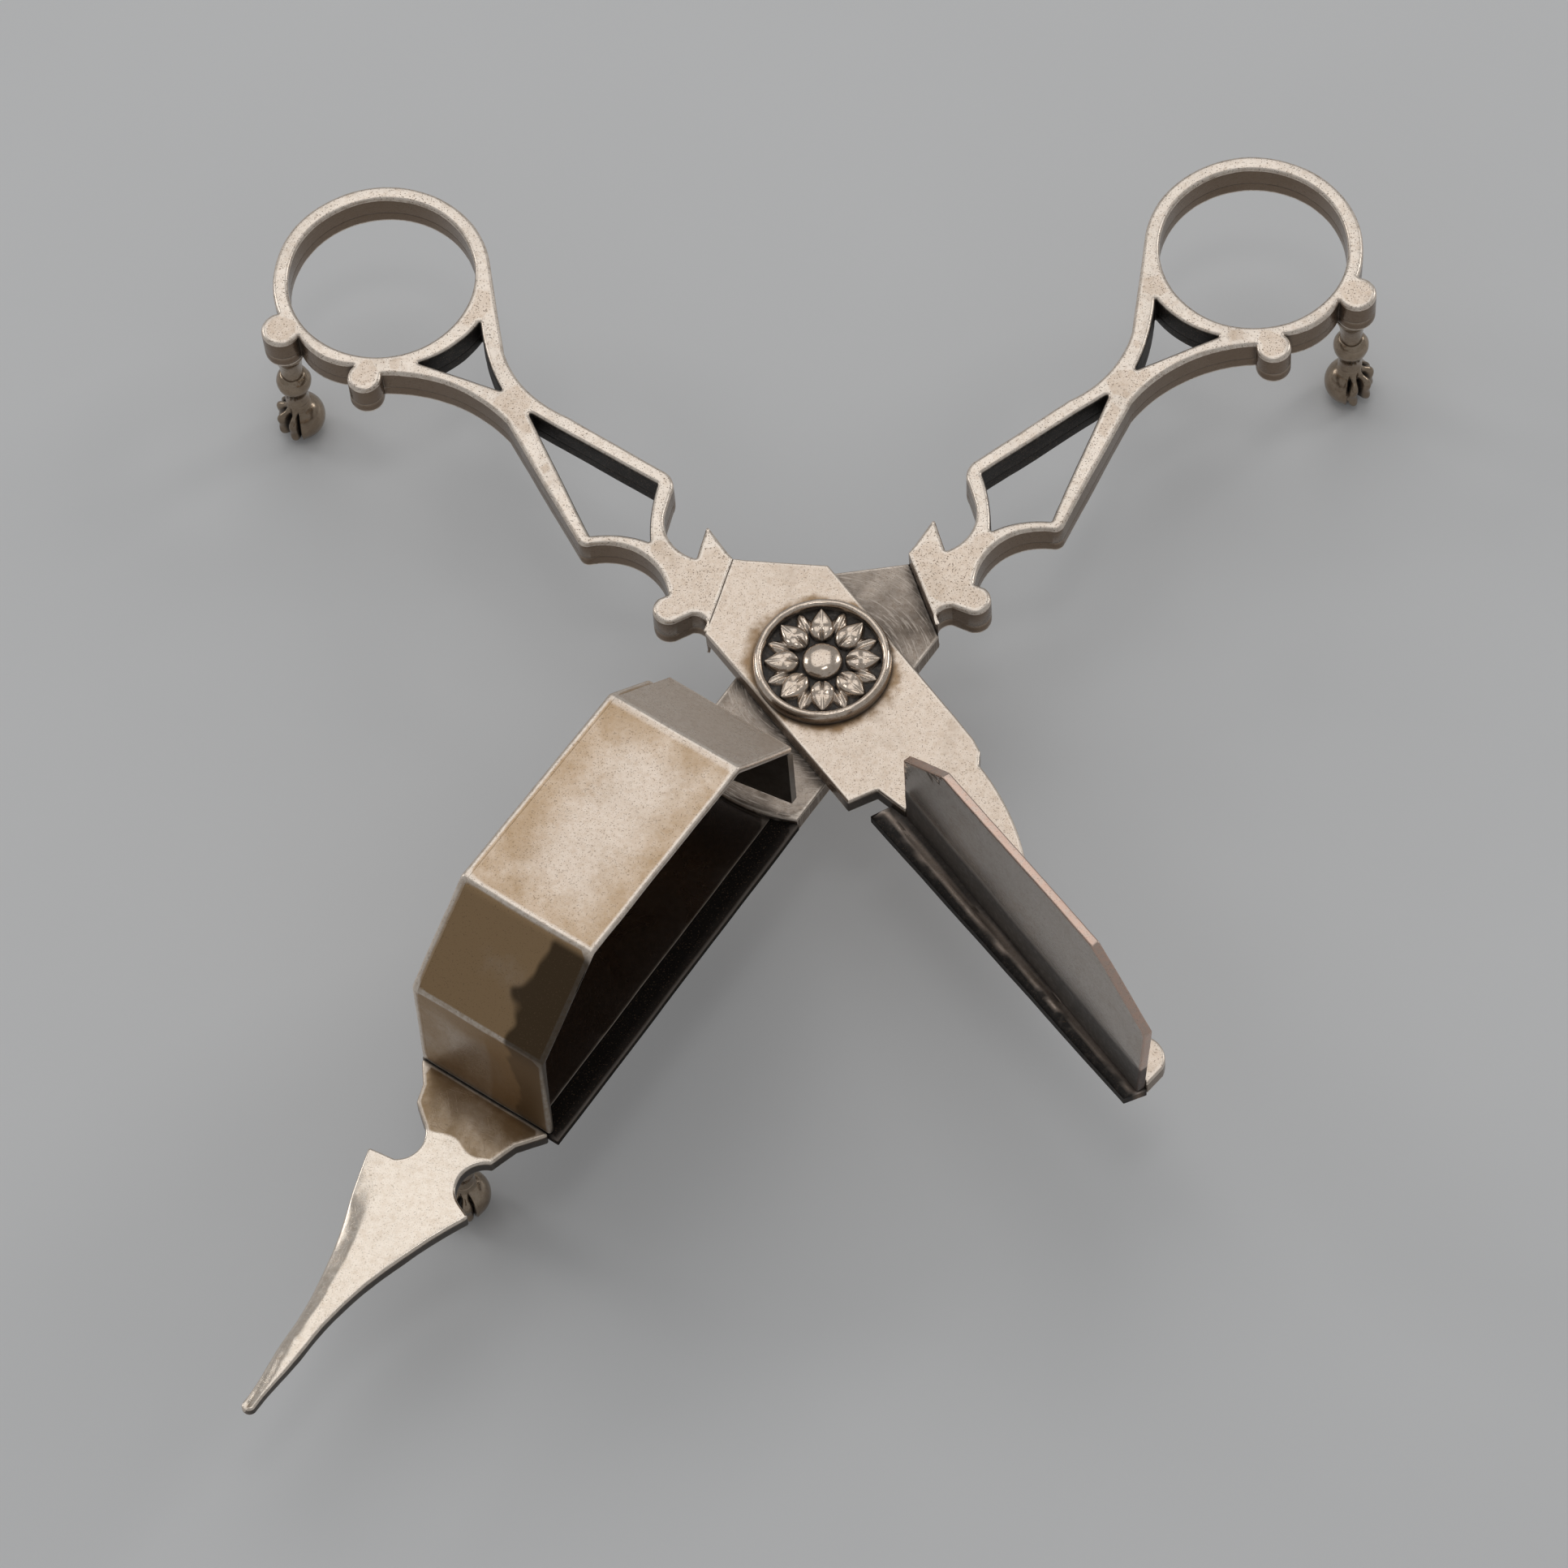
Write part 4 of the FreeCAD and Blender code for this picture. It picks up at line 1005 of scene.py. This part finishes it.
def build():
    handle_metal = silver("handle_metal", tarnish=0.2, side_shade=0.85, pits=0.8, grain=1.1, rim_light=0.95,
                          stain=rgb(0.46, 0.33, 0.21))
    plate_metal = silver("plate_metal", tarnish=0.15, side_shade=0.8, pits=0.5, reach=0.9, crevice_tarnish_and_shade=0.97,
                         stain=rgb(0.30, 0.19, 0.10), mask=brown_round_rosette)
    # The lamina is painted dark brown for its tarnish and as painted shade under the plate arm; its
    # scratches run round the pivot.
    lamina_tarnish_and_shade_metal = silver("lamina_tarnish_and_shade_metal", base=rgb(0.50, 0.43, 0.37), tarnish=0.95, stain=DEEP_BROWN,
                          side_shade=0.8, reach=3.5, crevice_tarnish_and_shade=0.98, scratches=arcs_about_pivot())
    roof_metal = silver("roof_metal", tarnish=0.12, rim_stain=1.0, side_shade=0.0, pits=0.45,
                        reach=2.5, crevice_tarnish_and_shade=0.98, rim_light=0.9, mask=painted_facet_shade, deep=burnt_lobe,
                        roughness=(0.22, 0.32))
    wall_metal = silver("wall_metal", tarnish=0.35, rim_stain=1.0, side_shade=0.1, pits=0.45,
                        reach=1.0, rim_light=0.9, roughness=(0.22, 0.32))
    # Painted shade: the box's floor and rear wall are painted near black for the shade inside the box.
    interior_shade_metal = silver("interior_shade_metal", base=rgb(0.20, 0.17, 0.15), tarnish=0.8,
                         stain=rgb(0.06, 0.045, 0.04), side_shade=0.4, reach=9.0, crevice_tarnish_and_shade=0.99,
                         rim=rgb(0.4, 0.35, 0.3))
    steel = silver("steel_metal", base=rgb(0.40, 0.33, 0.28), tarnish=0.4, stain=rgb(0.10, 0.08, 0.07),
                   rim_light=0.8, rim=rgb(0.5, 0.43, 0.38), side_shade=0.9, scratch=0.9,
                   roughness=(0.28, 0.42), scratch_turn=55.0)
    black_steel = silver("black_steel_metal", base=rgb(0.06, 0.05, 0.045), tarnish=0.5, stain=SOOT_AND_SHADE_BLACK,
                         rim_light=0.5, rim=rgb(0.3, 0.26, 0.23), side_shade=0.9, crevice_tarnish_and_shade=0.99,
                         roughness=(0.4, 0.55))
    black_steel.node_tree.nodes["Principled BSDF"].inputs["Specular IOR Level"].default_value = 0.12
    blade_metal = silver("blade_metal", base=rgb(0.60, 0.545, 0.50), tarnish=0.12, side_shade=0.0,
                         roughness=(0.16, 0.26), pits=0.3, rim=PINK, rim_light=0.9, crevice_tarnish_and_shade=0.5)
    tip_metal = silver("tip_metal", base=rgb(0.82, 0.73, 0.63), tarnish=0.1, roughness=(0.12, 0.24),
                       side_shade=0.9, mask=brown_root, stain=rgb(0.23, 0.15, 0.075), pits=0.3)
    foot_metal = silver("foot_metal", base=rgb(0.42, 0.34, 0.26), tarnish=0.45, stain=rgb(0.09, 0.06, 0.04),
                        side_shade=0.15, crevice_tarnish_and_shade=1.0, reach=1.1, roughness=(0.10, 0.2), grain=0.8)
    rim_metal = silver("rim_metal", tarnish=0.05, side_shade=0.3, roughness=(0.10, 0.2), reach=0.8)
    flower_metal = silver("flower_metal", tarnish=0.15, side_shade=0.1, roughness=(0.12, 0.2),
                          crevice_tarnish_and_shade=1.0, reach=0.9)

    for side, angle_frame, body, seam in (("box", BOX_FRAME, "box_arm", SEAM),
                                          ("plate", PLATE_FRAME, "plate_arm", mirrored(SEAM))):
        slab(side + "_handle", angle_frame, body, handle_metal, upper=0.4, lower=0.3,
             groove=2.65, crisp=seam, wander=0.06)
        foot_leg(side + "_foot_leg", body, foot_metal)
    slab("pivot_plate", PLATE_FRAME, "plate_arm", plate_metal, upper=0.24, lower=0.1,
         crisp=mirrored(SEAM), corner=0.15, blackening_and_shade=front_step_soot)
    slab("box_lamina", BOX_FRAME, "box_arm", lamina_tarnish_and_shade_metal, upper=0.15, lower=0.1, corner=0.1,
         wander=0.03)
    slab("box_floor", BOX_FRAME, "box_arm", interior_shade_metal, upper=0.08, lower=0.2, wander=0.03)
    slab("shear_strip", BOX_FRAME, "box_arm", black_steel, upper=0.12, lower=0.15,
         corner=0.1, wander=0.03, grid=1.0, blackening_and_shade=shear_soot)
    slab("box_roof", BOX_FRAME, "box_arm", roof_metal, along_x=True, upper=0.32, lower=0.02,
         corner=0.5, grid=0.5, step=0.8, wander=0.05)
    slab("box_side", BOX_FRAME, "box_arm", wall_metal, along_x=True, upper=0.02, lower=0.4,
         corner=0.5, wander=0.05, shape=nicked_edge)
    slab("spear_tip", BOX_FRAME, "box_arm", tip_metal, upper=0.25, lower=0.2, corner=0.3,
         grid=0.6, step=0.7, wander=0.07, shape=tip_shape, blackening_and_shade=tip_soot)
    slab("cutter_strip", PLATE_FRAME, "plate_arm", steel, upper=0.1, lower=0.1, corner=0.1,
         grid=0.4, wander=0.03, shape=strip_shape, blackening_and_shade=strip_soot)
    slab("snuffer_blade", PLATE_FRAME, "plate_arm", blade_metal, along_x=True, upper=0.15,
         lower=0.15, corner=0.4, step=0.45, wander=0.05,
         # Its lower part is painted black, a painted reflection of the dark strip at its foot.
         blackening_and_shade=lambda v: 0.88 * smooth_step(4.4, 3.9, v.y))
    foot_leg("front_foot_leg", "box_arm", foot_metal)
    foot_paw("box_foot_paw", "box_arm", foot_metal, math.radians(-34))
    foot_paw("plate_foot_paw", "plate_arm", foot_metal, math.radians(209))
    foot_paw("front_foot_paw", "box_arm", foot_metal, math.radians(-125))
    rosette(rim_metal, flower_metal)

    kept = {"box_rear_wall": interior_shade_metal, "pivot_pin": handle_metal, "pivot_washer": handle_metal}
    for node, material in kept.items():
        mesh = frame["nodes"][node].data
        mesh.materials.clear()
        mesh.materials.append(material)


# ---------------------------------------------------------------- floor, light, camera

def floor():
    size = 3.0
    mesh = bpy.data.meshes.new("floor")
    corners = [(-size, -size, 0), (size, -size, 0), (size, size, 0), (-size, size, 0)]
    mesh.from_pydata(corners, [], [(0, 1, 2, 3)])
    made = bpy.data.objects.new("floor", mesh)
    bpy.context.scene.collection.objects.link(made)
    n = Nodes("floor_paint")
    tone = n.noise(0.02, 3.0)
    colour = n.blend(tone, rgb(0.70, 0.70, 0.70), rgb(0.74, 0.74, 0.74))
    n.link(colour, n.shader.inputs["Base Color"])
    n.shader.inputs["Roughness"].default_value = 0.45
    mesh.materials.append(n.material)


def softbox(name, place, aim, width, depth, power, colour=(1.0, 1.0, 1.0)):
    light = bpy.data.lights.new(name, "AREA")
    light.shape = "RECTANGLE"
    light.size = width
    light.size_y = depth
    light.energy = power
    light.color = colour
    made = bpy.data.objects.new(name, light)
    bpy.context.scene.collection.objects.link(made)
    made.location = place
    made.rotation_mode = "QUATERNION"
    made.rotation_quaternion = (Vector(aim) - Vector(place)).to_track_quat("-Z", "Y")


def lights():
    softbox("key", (-0.10, 0.58, 1.05), (0, 0, 0), 0.95, 0.85, 1.9)
    softbox("right", (0.9, 0.55, 0.6), (0, 0, 0), 0.3, 0.5, 1.3)
    softbox("left", (-0.95, 0.5, 0.55), (0, 0, 0), 0.3, 0.5, 1.1)
    softbox("top", (0.05, -0.1, 1.2), (0, 0, 0), 0.3, 0.2, 0.5)
    world = bpy.data.worlds.new("studio")
    bpy.context.scene.world = world
    world.use_nodes = True
    background = world.node_tree.nodes["Background"]
    background.inputs["Color"].default_value = rgb(0.97, 0.985, 1.0)
    background.inputs["Strength"].default_value = 0.35


def camera():
    azimuth = math.radians(4.414)
    elevation = math.radians(61.153)
    roll = math.radians(-5.386)
    distance = 0.6337
    sensor = 36.0
    focal_in_widths = 4.1408
    aim_aside, aim_ahead = 3.865, 13.375
    aim = Vector(((pivot.x - aim_aside) * MM, (pivot.y - aim_ahead) * MM, top_height * MM))
    forward = Vector((-math.sin(azimuth) * math.cos(elevation), math.cos(azimuth) * math.cos(elevation),
                      -math.sin(elevation)))
    level = forward.cross(Vector((0, 0, 1))).normalized()
    upward = level.cross(forward)
    right = level * math.cos(roll) + upward * math.sin(roll)
    up = upward * math.cos(roll) - level * math.sin(roll)
    data = bpy.data.cameras.new("camera")
    data.sensor_width = sensor
    data.lens = sensor * focal_in_widths
    data.clip_start = 0.01
    data.clip_end = 20.0
    made = bpy.data.objects.new("camera", data)
    bpy.context.scene.collection.objects.link(made)
    turned = Matrix((right, up, -forward)).transposed().to_4x4()
    made.matrix_world = Matrix.Translation(aim - forward * distance) @ turned
    bpy.context.scene.camera = made


build()
floor()
lights()
camera()
bpy.context.scene.view_settings.view_transform = "Standard"
bpy.context.view_layer.update()
